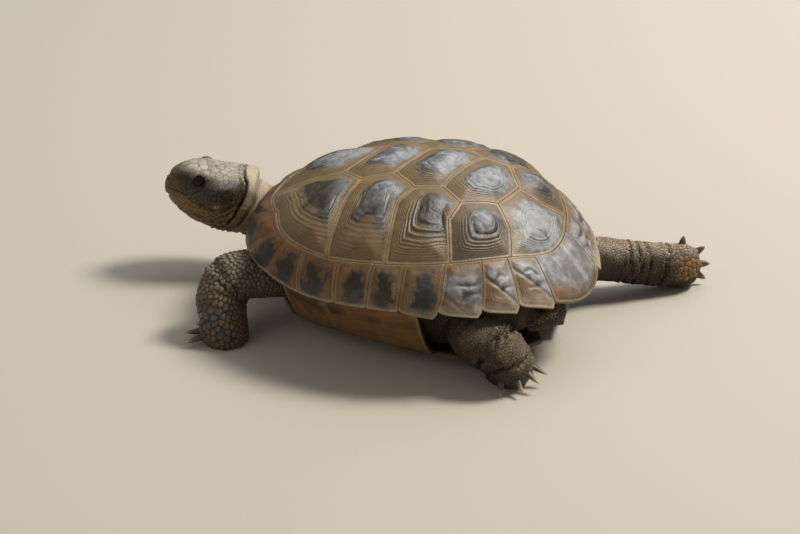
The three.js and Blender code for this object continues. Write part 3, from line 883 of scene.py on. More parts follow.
    def outwardness(self, edge: Array) -> Array:
        """Return how far each column points from the crown towards the rim, from -1 to 1.

        Args:
            edge: The seats round the plate's edge.

        Returns:
            One number for each column.
        """
        ends = self.form.point(edge[:, 0], edge[:, 1])
        away = unit(ends - self.middle())
        if self.kind is PlateKind.BELLY:
            return np.full(len(edge), 0.3)
        turn = np.clip(-away[..., 2] * 1.5 + 0.12, -1.0, 1.0)
        for _ in range(2):
            turn = sum(np.roll(turn, k) for k in range(-3, 4)) / 7.0
        return turn

    def build(self) -> bpy.types.Mesh:
        """Build the plate's mesh with its colours.

        Returns:
            A closed mesh in the frame's metres.
        """
        edge = self.edge()
        hub = np.array([self.areola.u, self.areola.v])
        shares = np.linspace(0.0, 1.0, self.rows + 1)
        seats = hub + (edge - hub)[None] * shares[:, None, None]
        flat = self.form.point(seats[..., 0], seats[..., 1])
        normal = self.form.normal(seats[..., 0], seats[..., 1])
        distance = self.seam_distance(flat, edge)
        share = self.rounded(np.broadcast_to(shares[:, None], distance.shape), edge)
        turn = np.broadcast_to(self.outwardness(edge)[None], distance.shape)
        wave, ring = self.ring_wave(share, flat)
        in_core = share < self.core
        wave = np.where(in_core, self.core_wave(share, flat, turn), wave)
        strength = 0.25 + 0.75 * smooth_step(-0.35, 0.6, turn)
        strength = strength * (1.25 - 0.85 * smooth_step(0.0, 0.55, ring))
        strength = strength * (0.8 + 0.6 * Grain.value(flat, 11.0, 8)) * self.lean
        full = smooth_step(0.0, self.bevel, distance)
        height = (self.swell + self.seam_depth) * full - self.seam_depth
        step = bump(share, self.core + 0.035, 0.035) - 1.3 * bump(share, self.core - 0.035, 0.03)
        height += self.mound * smooth_fall(0.1, 0.62, share) - self.mound * 0.9
        height += self.core_step * step * smooth_step(-0.1, 0.6, turn) * (self.mound > 0.0)
        height += self.relief * (wave - 0.55) * strength * smooth_step(0.0, 1.6, distance)
        height += self.uneven * Grain.layered(flat, 11.0, 21) * full
        height += self.crease(seats, distance)
        rim_line = smooth_step(0.0, 0.35, distance) * smooth_fall(0.5, 1.5, distance)
        height += self.seam_lip * rim_line
        tone = self.tone(seats, flat, share, distance, wave, turn)
        seam = flat + normal * height[..., None]
        seam[-1] = self.pull_in(seam[-1])
        return self.close(seam, tone, flat, normal, hub, edge)

    def close(self, top: Array, tone: Array, flat: Array, normal: Array,
              hub: Array, edge: Array) -> bpy.types.Mesh:
        """Add the wall and the underside to the top and make the mesh.

        Args:
            top: Places on the plate's upper side, from the areola to the seam.
            tone: Their colours.
            flat: The form's places under them.
            normal: The form's outward directions there.
            hub: The areola's seat.
            edge: The seats round the plate's edge.

        Returns:
            The closed mesh.
        """
        rows, tones = [top], [tone]
        for drop in self.wall:
            rows.append(self.pull_in(flat[-1:] - normal[-1:] * self.thickness * drop))
            tones.append(np.broadcast_to(HornTones.UNDER, tone[-1:].shape))
        for share in self.underside:
            seat = (hub + (edge - hub) * share)[None]
            under = self.form.point(seat[..., 0], seat[..., 1])
            under = under - self.form.normal(seat[..., 0], seat[..., 1]) * self.thickness
            rows.append(under)
            tones.append(np.broadcast_to(HornTones.UNDER, tone[-1:].shape))
        points = np.concatenate(rows)
        tints = np.concatenate(tones)
        points = np.concatenate([points, points[:, :1]], axis=1)
        tints = np.concatenate([tints, tints[:, :1]], axis=1)
        return laid_sheet(self.name, BENCH.to_frame(points), {TONE: tints})

    def pull_in(self, ring: Array) -> Array:
        """Draw an edge in by half the seam's width."""
        middle = ring.reshape(-1, 3).mean(axis=0)
        return ring + unit(middle - ring) * self.gap

    # -- markings
    def place_on_rim_plate(self, seats: Array) -> tuple[Array, Array]:
        """Return the share from front to rear and from ring to rim on a plate of the rim.

        Args:
            seats: Seats on the plate.

        Returns:
            The two shares of each seat.
        """
        angle = np.degrees(np.arctan2(np.abs(seats[..., 1]), seats[..., 0]))
        corners = [math.degrees(math.atan2(abs(c.v), c.u)) for c in self.corners]
        front, rear = max(corners), min(corners)
        if self.kind is PlateKind.SUPRACAUDAL:
            signed = np.degrees(np.arctan2(seats[..., 1], seats[..., 0]))
            front, rear, angle = max(corners), -max(corners), signed
        along = (front - angle) / (front - rear)
        radius = np.hypot(seats[..., 0], seats[..., 1])
        return along, (radius - self.ring_radius) / (1.0 - self.ring_radius)

    def crease(self, seats: Array, distance: Array) -> Array:
        """Return the slanting crease of the last plates of the rim, in millimetres.

        Args:
            seats: Seats on the plate.
            distance: The distance to the seams in millimetres.

        Returns:
            One height for each seat.
        """
        if self.kind not in (PlateKind.MARGINAL, PlateKind.SUPRACAUDAL) or self.number < FIRST_FOLDED:
            return np.zeros(distance.shape)
        along, down = self.place_on_rim_plate(seats)
        if self.kind is PlateKind.SUPRACAUDAL:
            return -0.4 * bump(along, 0.5, 0.02) * smooth_step(0.3, 0.9, down)
        line = down - self.fold_start() - self.fold_slope * along
        bars = self.bars(seats, along, down)
        return (0.28 * bars - 0.45 * bump(line, 0.0, 0.055)) * smooth_step(0.3, 2.0, distance)

    def fold_start(self) -> float:
        """Return how far down the front edge the slanting crease begins."""
        return 0.5 if self.number == FIRST_FOLDED else 0.12

    def bars(self, seats: Array, along: Array, down: Array) -> Array:
        """Return the wavy bars across the last plates of the rim, from -1 to 1.

        Args:
            seats: Seats on the plate.
            along: The share from front to rear.
            down: The share from ring to rim.

        Returns:
            One number for each seat.
        """
        places = self.form.point(seats[..., 0], seats[..., 1])
        wave = np.sin(down * 27.0 + 2.4 * Grain.value(places, 7.0, 63) + 1.6 * Grain.value(places, 3.0, 65))
        return wave * bump(along, 0.58, 0.3) * bump(down, 0.52, 0.26)

    def tone(self, seats: Array, flat: Array, share: Array, distance: Array,
             wave: Array, turn: Array) -> Array:
        """Return the plate's colour at each point.

        Args:
            seats: Seats on the plate.
            flat: The form's places under the plate.
            share: The share of the way to the seam.
            distance: The distance to the seams in millimetres.
            wave: How high each point stands on its ring.
            turn: How far each point faces the rim.

        Returns:
            One colour for each point.
        """
        if self.kind is PlateKind.BELLY:
            return self.belly_tone(flat, distance, wave)
        rough = Grain.layered(flat, 7.0, 31)
        speck = Grain.layered(flat, 2.2, 37)
        colour = np.broadcast_to(HornTones.OLIVE, flat.shape)
        sunned = smooth_step(-0.4, 0.5, Grain.value(flat, 26.0, 33))
        colour = blend(colour, HornTones.RIDGE, 0.16 + 0.24 * sunned + 0.24 * rough)
        colour = blend(colour, HornTones.AMBER, 0.3 * smooth_step(0.5, 1.0, share) + 0.15 * speck)
        outside = smooth_step(self.core - 0.02, self.core + 0.05, share)
        clear = 0.6 + 0.5 * Grain.value(flat, 9.0, 39) + 0.2 * speck
        # Growth-ring banding in step with the relief: paler on each ring's crest and darker in its trough,
        # partly the horn's own banding and partly painted highlight and painted shade, strongest where the
        # plate turns towards the rim.
        lines = smooth_step(0.5, 0.97, wave) * outside * clear
        cuts = smooth_fall(0.02, 0.38, wave) * outside * clear
        strong = 0.35 + 0.65 * smooth_step(-0.4, 0.5, turn)
        strong = strong * (1.0 if self.number > 2 or self.kind is not PlateKind.COSTAL else 0.62)
        colour = blend(colour, HornTones.RIDGE, 0.32 * lines * strong)
        colour = blend(colour, HornTones.GROOVE, 0.55 * cuts * strong)
        if self.kind in (PlateKind.COSTAL, PlateKind.VERTEBRAL):
            colour = self.crown_marks(colour, flat, share, wave, turn, rough, speck)
        else:
            colour = self.rim_marks(colour, seats, flat, wave, rough, speck)
        seam = smooth_fall(0.9, 1.9 + 0.5 * rough, distance)
        share_of_seam = 0.42 if self.kind in (PlateKind.COSTAL, PlateKind.VERTEBRAL) else 0.22
        colour = blend(colour, HornTones.SEAM, (share_of_seam + 0.25 * rough) * seam)
        colour = blend(colour, HornTones.SEAM_SHADE, 0.35 * smooth_fall(0.1, 0.4, distance))
        colour = blend(colour, HornTones.GROOVE, 0.3 * bump(distance, 2.2 + 0.6 * rough, 0.45))
        return colour * (1.0 + 0.1 * speck)[..., None]

    def stone(self, flat: Array, wave: Array, light: Array, speck: Array) -> Array:
        """Return the slate's colour, from nearly black to pale grey.

        Args:
            flat: The form's places under the plate.
            wave: How high each point stands on its ring.
            light: How light the slate is, from -1 to 1.
            speck: Fine noise there.

        Returns:
            One colour for each point.
        """
        colour = np.broadcast_to(HornTones.SLATE_DARK, flat.shape)
        colour = blend(colour, HornTones.SLATE, smooth_step(-0.5, 0.35, light))
        colour = blend(colour, HornTones.SLATE_LIGHT, 0.85 * smooth_step(0.2, 1.2, light + 0.35 * speck))
        # Paler on the ring crests here and darker in the troughs below: partly the horn's own banding, partly
        # painted highlight and painted shade on the relief.
        colour = blend(colour, HornTones.SLATE_LIGHT, 0.22 * smooth_step(0.62, 1.0, wave))
        colour = blend(colour, HornTones.OLIVE, 0.35 * smooth_step(0.25, 0.7, Grain.layered(flat, 3.4, 47)))
        return blend(colour, HornTones.SLATE_DARK, 0.36 * smooth_fall(0.05, 0.4, wave))

    def crown_marks(self, colour: Array, flat: Array, share: Array, wave: Array,
                    turn: Array, rough: Array, speck: Array) -> Array:
        """Add the slate heart of a costal or vertebral plate, with painted sunlight that makes it paler
        towards the tail and on the vertebrals, and darker where it turns to the rim.

        Args:
            colour: The colour so far.
            flat: The form's places under the plate.
            share: The share of the way to the seam.
            wave: How high each point stands on its ring.
            turn: How far each point faces the rim.
            rough: Broad noise there.
            speck: Fine noise there.

        Returns:
            The marked colour.
        """
        hub = self.middle()
        rear = np.clip((flat[..., 0] - hub[0]) / 16.0, -1.0, 1.0)
        if self.kind is PlateKind.VERTEBRAL:
            reach = (0.86 if self.number == 5 else 0.7) + 0.14 * rear
        else:
            reach = 0.57 + 0.1 * rear - 0.16 * np.clip(turn, -1.0, 0.3)
        reach = reach + 0.2 * rough + 0.07 * speck
        inside = smooth_fall(-0.14, 0.07, share - reach)
        # Painted sunlight from behind: the slate grows paler towards the tail, on each plate's rear half and
        # on the vertebrals along the top, and darker where the plate turns towards the rim.
        sunned = smooth_step(0.0, 85.0, flat[..., 0])
        light = 0.05 + 0.5 * rear - 0.35 * turn + 0.75 * rough + 0.35 * speck + 0.5 * sunned
        if self.kind is PlateKind.VERTEBRAL:
            light = light + 0.7
        else:
            light = light + self.costal_light[self.number - 1]
        rim = bump(share, reach - 0.08, 0.1) * smooth_step(-0.5, 0.6, turn - rear + 0.6 * rough)
        stone = self.stone(flat, wave, light - 0.9 * rim, speck)
        # Painted sheen of pale grey on the slate towards the tail.
        stone = blend(stone, HornTones.WEAR_AND_SHEEN, 0.55 * sunned * smooth_step(-0.4, 0.6, speck + rough))
        # Painted shade: the fourth costal is darkened, most where it turns down towards the rim.
        if self.number == 4 and self.kind is PlateKind.COSTAL:
            colour = colour * (0.55 + 0.33 * smooth_step(-0.2, 0.4, -turn))[..., None]
        colour = blend(colour, stone, inside * np.clip(0.9 + 0.15 * speck, 0.0, 1.0))
        smudge = smooth_step(0.3, 0.75, Grain.layered(flat, 5.0, 43))
        smudge = smudge * smooth_fall(0.6, 0.95, share)
        return blend(colour, HornTones.SLATE_DARK, 0.4 * smudge * (1.0 - inside))

    def rim_marks(self, colour: Array, seats: Array, flat: Array, wave: Array,
                  rough: Array, speck: Array) -> Array:
        """Add the amber ground, the dark blot and the pale lower edge of a plate of the rim.

        Args:
            colour: The colour so far.
            seats: Seats on the plate.
            flat: The form's places under the plate.
            wave: How high each point stands on its ring.
            rough: Broad noise there.
            speck: Fine noise there.

        Returns:
            The marked colour.
        """
        along, down = self.place_on_rim_plate(seats)
        ragged = 0.6 * Grain.layered(flat, 4.5, 49) + 0.4 * speck
        wave = 0.5 + (0.2 if self.number >= FIRST_FOLDED else 0.45) * (wave - 0.5)
        front = smooth_fall(-30.0, 60.0, flat[..., 0])
        colour = blend(colour, HornTones.AMBER * 0.85, 0.3 + 0.5 * front + 0.2 * rough)
        if self.kind is PlateKind.SUPRACAUDAL:
            dark = smooth_fall(0.7, 1.0, down + 0.3 * ragged + 0.35 * np.maximum(0.5 - along, 0.0))
            streaks = Grain.layered(flat * np.array([0.5, 1.6, 1.0]), 5.0, 67)
            stone = self.stone(flat, wave, 0.3 + 0.9 * rough + 1.1 * streaks, speck)
            # Pale grey on the supracaudal's slate: partly wear, partly painted sheen.
            colour = blend(colour, blend(stone, HornTones.WEAR_AND_SHEEN, 0.3 + 0.3 * speck), 0.9 * dark)
            wedge = smooth_step(0.0, 0.2, down - 0.5 - 0.8 * np.abs(along - 0.62) + 0.2 * ragged)
            return blend(colour, HornTones.SLATE_DARK, 0.4 * wedge * (1.0 - dark))
        if self.number >= FIRST_FOLDED:
            fold = self.fold_start() + self.fold_slope * along - down + 0.16 * ragged
            behind = smooth_step(-0.12, 0.14, fold)
            deep = smooth_step(0.1, 0.4, down + 0.2 * ragged) * behind
            bars = self.bars(seats, along, down)
            base = 0.4 if self.number == FIRST_FOLDED else 0.95
            light = base + rough - 1.1 * bump(fold, 0.08, 0.07) + 0.9 * bars
            # Pale grey on the slate of the last rim plates: partly wear, partly painted sheen.
            stone = blend(self.stone(flat, wave, light, speck), HornTones.WEAR_AND_SHEEN, 0.3 + 0.3 * rough)
            colour = blend(colour, stone, 0.85 * deep)
            colour = blend(colour, HornTones.SLATE_DARK, 0.7 * smooth_step(0.25, 0.85, -bars))
            pale = smooth_step(0.7, 1.0, down + 0.2 * ragged)
            return blend(colour, HornTones.EDGE, 0.6 * pale)
        centre = 0.54 + 0.07 * math.sin(self.number * 2.3)
        half = 0.17 + 0.1 * bump(down, 0.55, 0.3) + 0.36 * ragged
        patch = smooth_fall(-0.1, 0.1, np.abs(along - centre) - half)
        patch = patch * smooth_step(0.04, 0.3, down + 0.3 * ragged)
        # The blots grow paler towards the tail: painted light from behind.
        light = -0.6 + 0.9 * rough + 0.4 * smooth_step(-30.0, 60.0, flat[..., 0])
        stone = self.stone(flat, wave, light, speck)
        colour = blend(colour, blend(stone, HornTones.BLOT, 0.45), 0.95 * patch)
        return blend(colour, HornTones.EDGE, 0.3 * smooth_step(0.86, 1.0, down + 0.1 * ragged))

    def belly_tone(self, flat: Array, distance: Array, wave: Array) -> Array:
        """Return the colour of a plate of the plastron: amber with black smears.

        Args:
            flat: The form's places under the plate.
            distance: The distance to the seams in millimetres.
            wave: How high each point stands on its ring.

        Returns:
            One colour for each point.
        """
        rough = Grain.layered(flat, 13.0, 51)
        speck = Grain.layered(flat, 3.0, 57)
        colour = blend(np.broadcast_to(HornTones.BELLY, flat.shape), HornTones.AMBER, 0.5 + 0.4 * rough)
        # Darker in the ring troughs: partly the horn's own banding, partly painted shade.
        colour = blend(colour, HornTones.GROOVE, 0.3 * smooth_fall(0.05, 0.5, wave))
        stretched = flat * np.array([0.4, 1.0, 1.0])
        smear = smooth_step(0.02, 0.4, Grain.layered(stretched, 11.0, 61) + 0.2 * speck)
        colour = blend(colour, HornTones.BLOT, 0.78 * smear)
        seam = bump(distance, 0.7, 0.4)
        return blend(colour, HornTones.SEAM, 0.4 * seam) * (1.0 + 0.1 * speck)[..., None]


# ---------------------------------------------------------------- the carapace
@dataclass
class Carapace:
    """The thirty-seven plates of the upper shell."""

    form: ShellForm = field(default_factory=ShellForm)
    rim_seams: tuple[float, ...] = (176, 161, 138, 123, 108, 94.5, 83.4, 72.7, 60, 45.6, 32, 17.4)
    ring_seams: tuple[float, ...] = (172, 139, 127, 120, 111, 96.4, 83.6, 71.9, 56.8, 41.5, 29.7, 15.2)
    neck_corner: float = 157.0
    costal_feet: tuple[float, ...] = (101.6, 79.5, 54.7, 27.4)
    crown_seams: tuple[tuple[float, float], ...] = (
        (-39, 20), (-23.5, 28), (-8, 19), (9.5, 29), (22.5, 22.5), (36, 27), (50, 11.5))
    knees: tuple[tuple[float, float], ...] = ((-23, 44), (7, 42), (36.5, 40), (61.5, 18.5))
    vertebral_areolae: tuple[float, ...] = (-57, -21, 9, 38, 67)
    costal_areolae: tuple[tuple[float, float], ...] = ((-33, 38), (-4, 36), (27.5, 35), (52, 27))
    rim_areola: tuple[float, float] = (0.9, 0.4)
    tooth: tuple[float, float, int] = (0.03, 1.5, 8)
    marginals: int = 11

    def across(self, left: list[Seat]) -> list[Seat]:
        """Return the outline of a plate on the midline from its left corners."""
        return left + [seat.mirrored() for seat in reversed(left)]

    def ring_corners(self, start: float, end: float) -> list[Seat]:
        """Return the corners along the ring between two angles.

        Args:
            start: The angle nearer the neck, in degrees.
            end: The angle nearer the tail, in degrees.

        Returns:
            The corners, from neck to tail.
        """
        angles = [*self.ring_seams, *self.costal_feet, self.neck_corner]
        inner = sorted((a for a in angles if end < a < start), reverse=True)
        return [self.form.on_ring(a) for a in (start, *inner, end)]

    def vertebrals(self) -> list[list[Seat]]:
        """Return the outlines of the five plates along the back.

        Returns:
            The corners of each plate, from neck to tail.
        """
        s = [self.form.seat(*place) for place in self.crown_seams]
        ring = self.form.on_ring
        knee = self.form.seat(*self.knees[3])
        return [
            self.across([ring(self.ring_seams[0]), ring(self.neck_corner), s[0]]),
            self.across(s[0:3]),
            self.across(s[2:5]),
            self.across(s[4:7]),
            self.across([s[6], knee, ring(self.costal_feet[3]), ring(self.ring_seams[11])]),
        ]

    def costals(self) -> list[list[Seat]]:
        """Return the outlines of the four plates of the left flank.

        Returns:
            The corners of each plate, from neck to tail.
        """
        s = [self.form.seat(*place) for place in self.crown_seams]
        k = [self.form.seat(*place) for place in self.knees]
        feet = [self.neck_corner, *self.costal_feet]
        fronts = [[s[0]], [s[1], k[0]], [s[3], k[1]], [s[5], k[2]]]
        rears = [[s[1]], [s[3], s[2]], [s[5], s[4]], [s[6]]]
        return [
            [*fronts[i], *self.ring_corners(feet[i], feet[i + 1]), k[i], *rears[i]] for i in range(4)
        ]

    def marginal(self, number: int) -> list[Seat]:
        """Return the outline of one plate of the rim on the left.

        Args:
            number: The plate's number, from the neck.

        Returns:
            Its corners.
        """
        front, rear = self.rim_seams[number - 1], self.rim_seams[number]
        reach, lead, first = self.tooth
        toothed = [self.form.polar(1.0 + reach, rear + lead)] if number >= first else []
        ring = self.ring_corners(self.ring_seams[number - 1], self.ring_seams[number])
        return [self.form.polar(1.0, front), *toothed, self.form.polar(1.0, rear), *reversed(ring)]

    def plates(self) -> list[HornPlate]:
        """Return every plate of the carapace.

        Returns:
            The plates, each with its outline and areola.
        """
        made = []
        for i, outline in enumerate(self.vertebrals()):
            areola = self.form.seat(self.vertebral_areolae[i], 0.0)
            made.append(HornPlate(f"vertebral_{i + 1}", PlateKind.VERTEBRAL, outline, areola, self.form,
                                  i + 1, mound=0.55, lean=0.8))
        for side, flip in (("left", False), ("right", True)):
            for i, outline in enumerate(self.costals()):
                areola = self.form.seat(*self.costal_areolae[i])
                made.append(self.sided(f"costal_{side}_{i + 1}", PlateKind.COSTAL, outline, areola, flip,
                                       i + 1, mound=0.55, lean=(0.75, 0.85, 1.0, 0.7)[i]))
            for number in range(1, self.marginals + 1):
                front, rear = self.rim_seams[number - 1], self.rim_seams[number]
                radius, share = self.rim_areola
                areola = self.form.polar(radius, rear + (front - rear) * share)
                made.append(self.sided(f"marginal_{side}_{number}", PlateKind.MARGINAL, self.marginal(number),
                                       areola, flip, number, **self.rim_build(number)))
        nuchal, tail = (
            self.across([self.form.on_ring(self.ring_seams[k]), self.form.polar(1.0, self.rim_seams[k])])
            for k in (0, self.marginals))
        made.append(HornPlate("nuchal", PlateKind.NUCHAL, nuchal, self.form.polar(self.rim_areola[0], 180.0),
                              self.form, 0, **self.rim_build(0)))
        made.append(HornPlate("supracaudal", PlateKind.SUPRACAUDAL, tail, self.form.polar(0.93, 0.0),
                              self.form, 12, **self.rim_build(12)))
        return made

    @staticmethod
    def rim_build(number: int) -> dict[str, float]:
        """Return how a plate of the rim differs from those of the crown."""
        return {"columns": 72, "rows": 42, "rings": 9, "core": 0.24, "swell": 0.75,
                "relief": 0.16 if number >= FIRST_FOLDED else 0.36, "lean": 0.42, "bevel": 7.0}

    def sided(self, name: str, kind: PlateKind, outline: list[Seat], areola: Seat, flip: bool,
              number: int, **build: float) -> HornPlate:
        """Return a plate of the left side, or of the right one.

        Args:
            name: The plate's name.
            kind: How it is marked.
            outline: The left plate's corners.
            areola: The left plate's areola.
            flip: Whether the right plate is wanted.
            number: The plate's number, from the neck.
            **build: Sizes that differ from a plate's usual ones.

        Returns:
            The plate.
        """
        if flip:
            outline = [seat.mirrored() for seat in reversed(outline)]
            areola = areola.mirrored()
        return HornPlate(name, kind, outline, areola, self.form, number, **build)


@dataclass
class Plastron:
    """The twelve plates of the belly, with their bridges up to the rim."""

    form: BellyForm
    places: dict[str, list[tuple[float, float]]] = field(default_factory=lambda: {
        "gular": [(-88, 0), (-86, 13), (-80, 22), (-70, 0)],
        "humeral": [(-70, 0), (-80, 22), (-66, 40), (-52, 52), (-42, 55), (-38, 0)],
        "pectoral": [(-38, 0), (-42, 55), (-44, math.inf), (-15, math.inf), (-20, 0)],
        "abdominal": [(-20, 0), (-15, math.inf), (38, math.inf), (37, 55), (34, 0)],
        "femoral": [(34, 0), (37, 55), (48, 52), (61, 42), (58, 0)],
        "anal": [(58, 0), (61, 42), (72, 29), (78, 12), (69, 0)],
    })

    def plates(self) -> list[HornPlate]:
        """Return every plate of the plastron.

        Returns:
            The plates in pairs, from neck to tail.
        """
        made = []
        for name, places in self.places.items():
            outline = [self.form.seat(*place) for place in places]
            count = len(outline)
            middle = Seat(sum(s.u for s in outline) / count, sum(s.v for s in outline) / count)
            for side, flip in (("left", False), ("right", True)):
                corners = [s.mirrored() for s in reversed(outline)] if flip else outline
                areola = middle.mirrored() if flip else middle
                made.append(HornPlate(f"{name}_{side}", PlateKind.BELLY, corners, areola, self.form,
                                      columns=64, rows=40, rings=9, core=0.2, swell=0.45, relief=0.22,
                                      thickness=2.6, seam_depth=0.3, bevel=6.0))
        return made


# ---------------------------------------------------------------- limbs
@dataclass(frozen=True)
class Station:
    """Where a limb's middle is, and its radius across and upright."""

    middle: tuple[float, float, float]
    across: float
    upright: float


@dataclass
class Limb:
    """A limb along a smooth path, with sections that don't twist."""

    name: str
    stations: list[Station]
    inset: float = 0.5
    columns: int = 40
    step: float = 1.6
    along_reach: float = 6.0

    def __post_init__(self) -> None:
        """Work out the sections along the path."""
        middles = np.array([s.middle for s in self.stations], float)
        coarse = self.path(middles, np.linspace(0.0, 1.0, 200))
        length = float(np.linalg.norm(np.diff(coarse, axis=0), axis=1).sum())
        spans = round(length / self.step)
        t = np.linspace(0.0, 1.0, spans + 1)
        self.middles = self.path(middles, t)
        self.ahead = unit(np.gradient(self.middles, axis=0))
        scaled = t * (len(self.stations) - 1)
        index = np.arange(len(self.stations))
        self.half = np.interp(scaled, index, [s.across for s in self.stations]) - self.inset
        self.height = np.interp(scaled, index, [s.upright for s in self.stations]) - self.inset
        self.across = np.empty_like(self.middles)
        self.upward = np.empty_like(self.middles)
        upward = UPRIGHT
        for i, ahead in enumerate(self.ahead):
            across = unit(np.cross(upward, ahead))
            upward = np.cross(ahead, across)
            self.across[i], self.upward[i] = across, upward
        steps = np.linalg.norm(np.diff(self.middles, axis=0), axis=1)
        self.along = np.concatenate([[0.0], np.cumsum(steps)])

    @staticmethod
    def path(points: Array, t: Array) -> Array:
        """Return places on a centripetal spline through the points.

        Args:
            points: The points that it passes.
            t: Shares of the way, even between points.

        Returns:
            One place for each share.
        """
        padded = np.concatenate([[2.0 * points[0] - points[1]], points, [2.0 * points[-1] - points[-2]]])
        scaled = np.clip(t * (len(points) - 1), 0.0, len(points) - 1 - 1e-9)
        k = np.floor(scaled).astype(int)
        w = (scaled - k)[:, None]
        p0, p1, p2, p3 = (padded[k + j] for j in range(4))
        d0, d1, d2 = (np.maximum(np.linalg.norm(b - a, axis=1) ** 0.5, 1e-6)[:, None]
                      for a, b in ((p0, p1), (p1, p2), (p2, p3)))
        m1 = ((p1 - p0) / d0 - (p2 - p0) / (d0 + d1) + (p2 - p1) / d1) * d1
        m2 = ((p2 - p1) / d1 - (p3 - p1) / (d1 + d2) + (p3 - p2) / d2) * d1
        cubic = 2.0 * p1 - 2.0 * p2 + m1 + m2
        square = -3.0 * p1 + 3.0 * p2 - 2.0 * m1 - m2
        return cubic * w ** 3 + square * w ** 2 + m1 * w + p1

    def solid(self) -> bpy.types.Mesh:
        """Return the limb's closed mesh in metres.

        Returns:
            The mesh, in the frame.
        """
        angle = np.arange(self.columns + 1) * FULL_TURN / self.columns
        ring = (self.middles[:, None]
                + self.across[:, None] * (self.half[:, None] * np.cos(angle))[..., None]
                + self.upward[:, None] * (self.height[:, None] * np.sin(angle))[..., None])
        ring = np.concatenate([
            np.repeat(self.middles[:1, None], self.columns + 1, axis=1), ring,
            np.repeat(self.middles[-1:, None], self.columns + 1, axis=1)])
        return laid_sheet(self.name, BENCH.to_frame(ring), {})

    def locate(self, points: Array) -> tuple[Array, Array, Array]:
        """Return each point's way along the limb, its angle round it and its distance off its surface.

        Args:
            points: Places in the maker's millimetres.

        Returns:
            The three numbers for each point; the distance is 1 on the surface.
        """
        best = np.full(len(points), np.inf)
        along = np.zeros(len(points))
        angle = np.zeros(len(points))
        for i in range(len(self.middles)):
            away = points - self.middles[i]
            x, y, z = dot(away, self.across[i]), dot(away, self.upward[i]), dot(away, self.ahead[i])
            gap = np.sqrt((x / self.half[i]) ** 2 + (y / self.height[i]) ** 2 + (z / self.along_reach) ** 2)
            near = gap < best
            best = np.where(near, gap, best)
            along = np.where(near, self.along[i], along)
            angle = np.where(near, np.arctan2(y / self.height[i], x / self.half[i]), angle)
        return along, angle, best

    def distal(self, along: Array) -> Array:
        """Return the direction towards the limb's end at each way along it."""
        return np.stack([np.interp(along, self.along, self.ahead[:, k]) for k in range(3)], -1)


def stations(*rows: tuple[float, float, float, float, float]) -> list[Station]:
    """Return stations from rows of a middle and two radii."""
    return [Station(row[:3], row[3], row[4]) for row in rows]


SINK = -4.0
NECK = Limb("neck", stations(
    (-60, 0, 28, 16, 13.5), (-80, 0, 29.5, 16, 15.5), (-99, -1, 33.5, 16.5, 15.5),
    (-117.5, -4, 39.5, 16.5, 17), (-128, -9.5, 42.5, 14.5, 16)))
TAIL = Limb("tail", stations(
    (58, 1, 26, 11, 9), (75, -1, 26, 9, 7.5), (83, -11, 26, 6.5, 6), (82, -22, 26, 4.5, 4.5),
    (78, -31, 25, 2, 2)))
FORELEG_LEFT = Limb("foreleg_left", stations(
    (-54, -36, 25, 13, 13), (-67, -52, 28, 13.5, 13), (-78.5, -68, 30, 13.5, 14),
    (-81.5, -75, 22.5, 13, 14.5), (-78, -80, 13, 12.5, 13.5), (-74, -83, 5, 11.8, 13),
    (-73, -84, SINK, 11.3, 12.5)))
FORELEG_RIGHT = Limb("foreleg_right", stations(
    (-54, 36, 25, 13, 13), (-71, 51, 26, 13.5, 13), (-88, 64, 24, 14.5, 14), (-97, 70, 19, 14, 14.5),
    (-99, 75, 11, 14, 13.5), (-98, 78, 4, 13.5, 13), (-98, 79, SINK, 13, 13)))
HINDLEG_LEFT = Limb("hindleg_left", stations(
    (38, -26, 25, 14, 13), (52, -42, 25, 15, 14), (64, -52, 24, 15, 14), (74, -50, 19.5, 14, 13.5),
    (77, -46, 11, 13, 13), (73.5, -42, 3.5, 11.5, 12), (72, -41, SINK, 11, 11.5)))
HINDLEG_RIGHT = Limb("hindleg_right", stations(
    (42, 28, 27, 13, 12), (58, 50, 26, 13.5, 12.5), (72, 69, 22, 12.5, 12.5), (86, 82, 18, 11.5, 12.5),
    (97, 94, 14.5, 11.5, 12.5), (105, 103, 12.4, 11, 13), (110, 108, 12, 8, 10.5)))


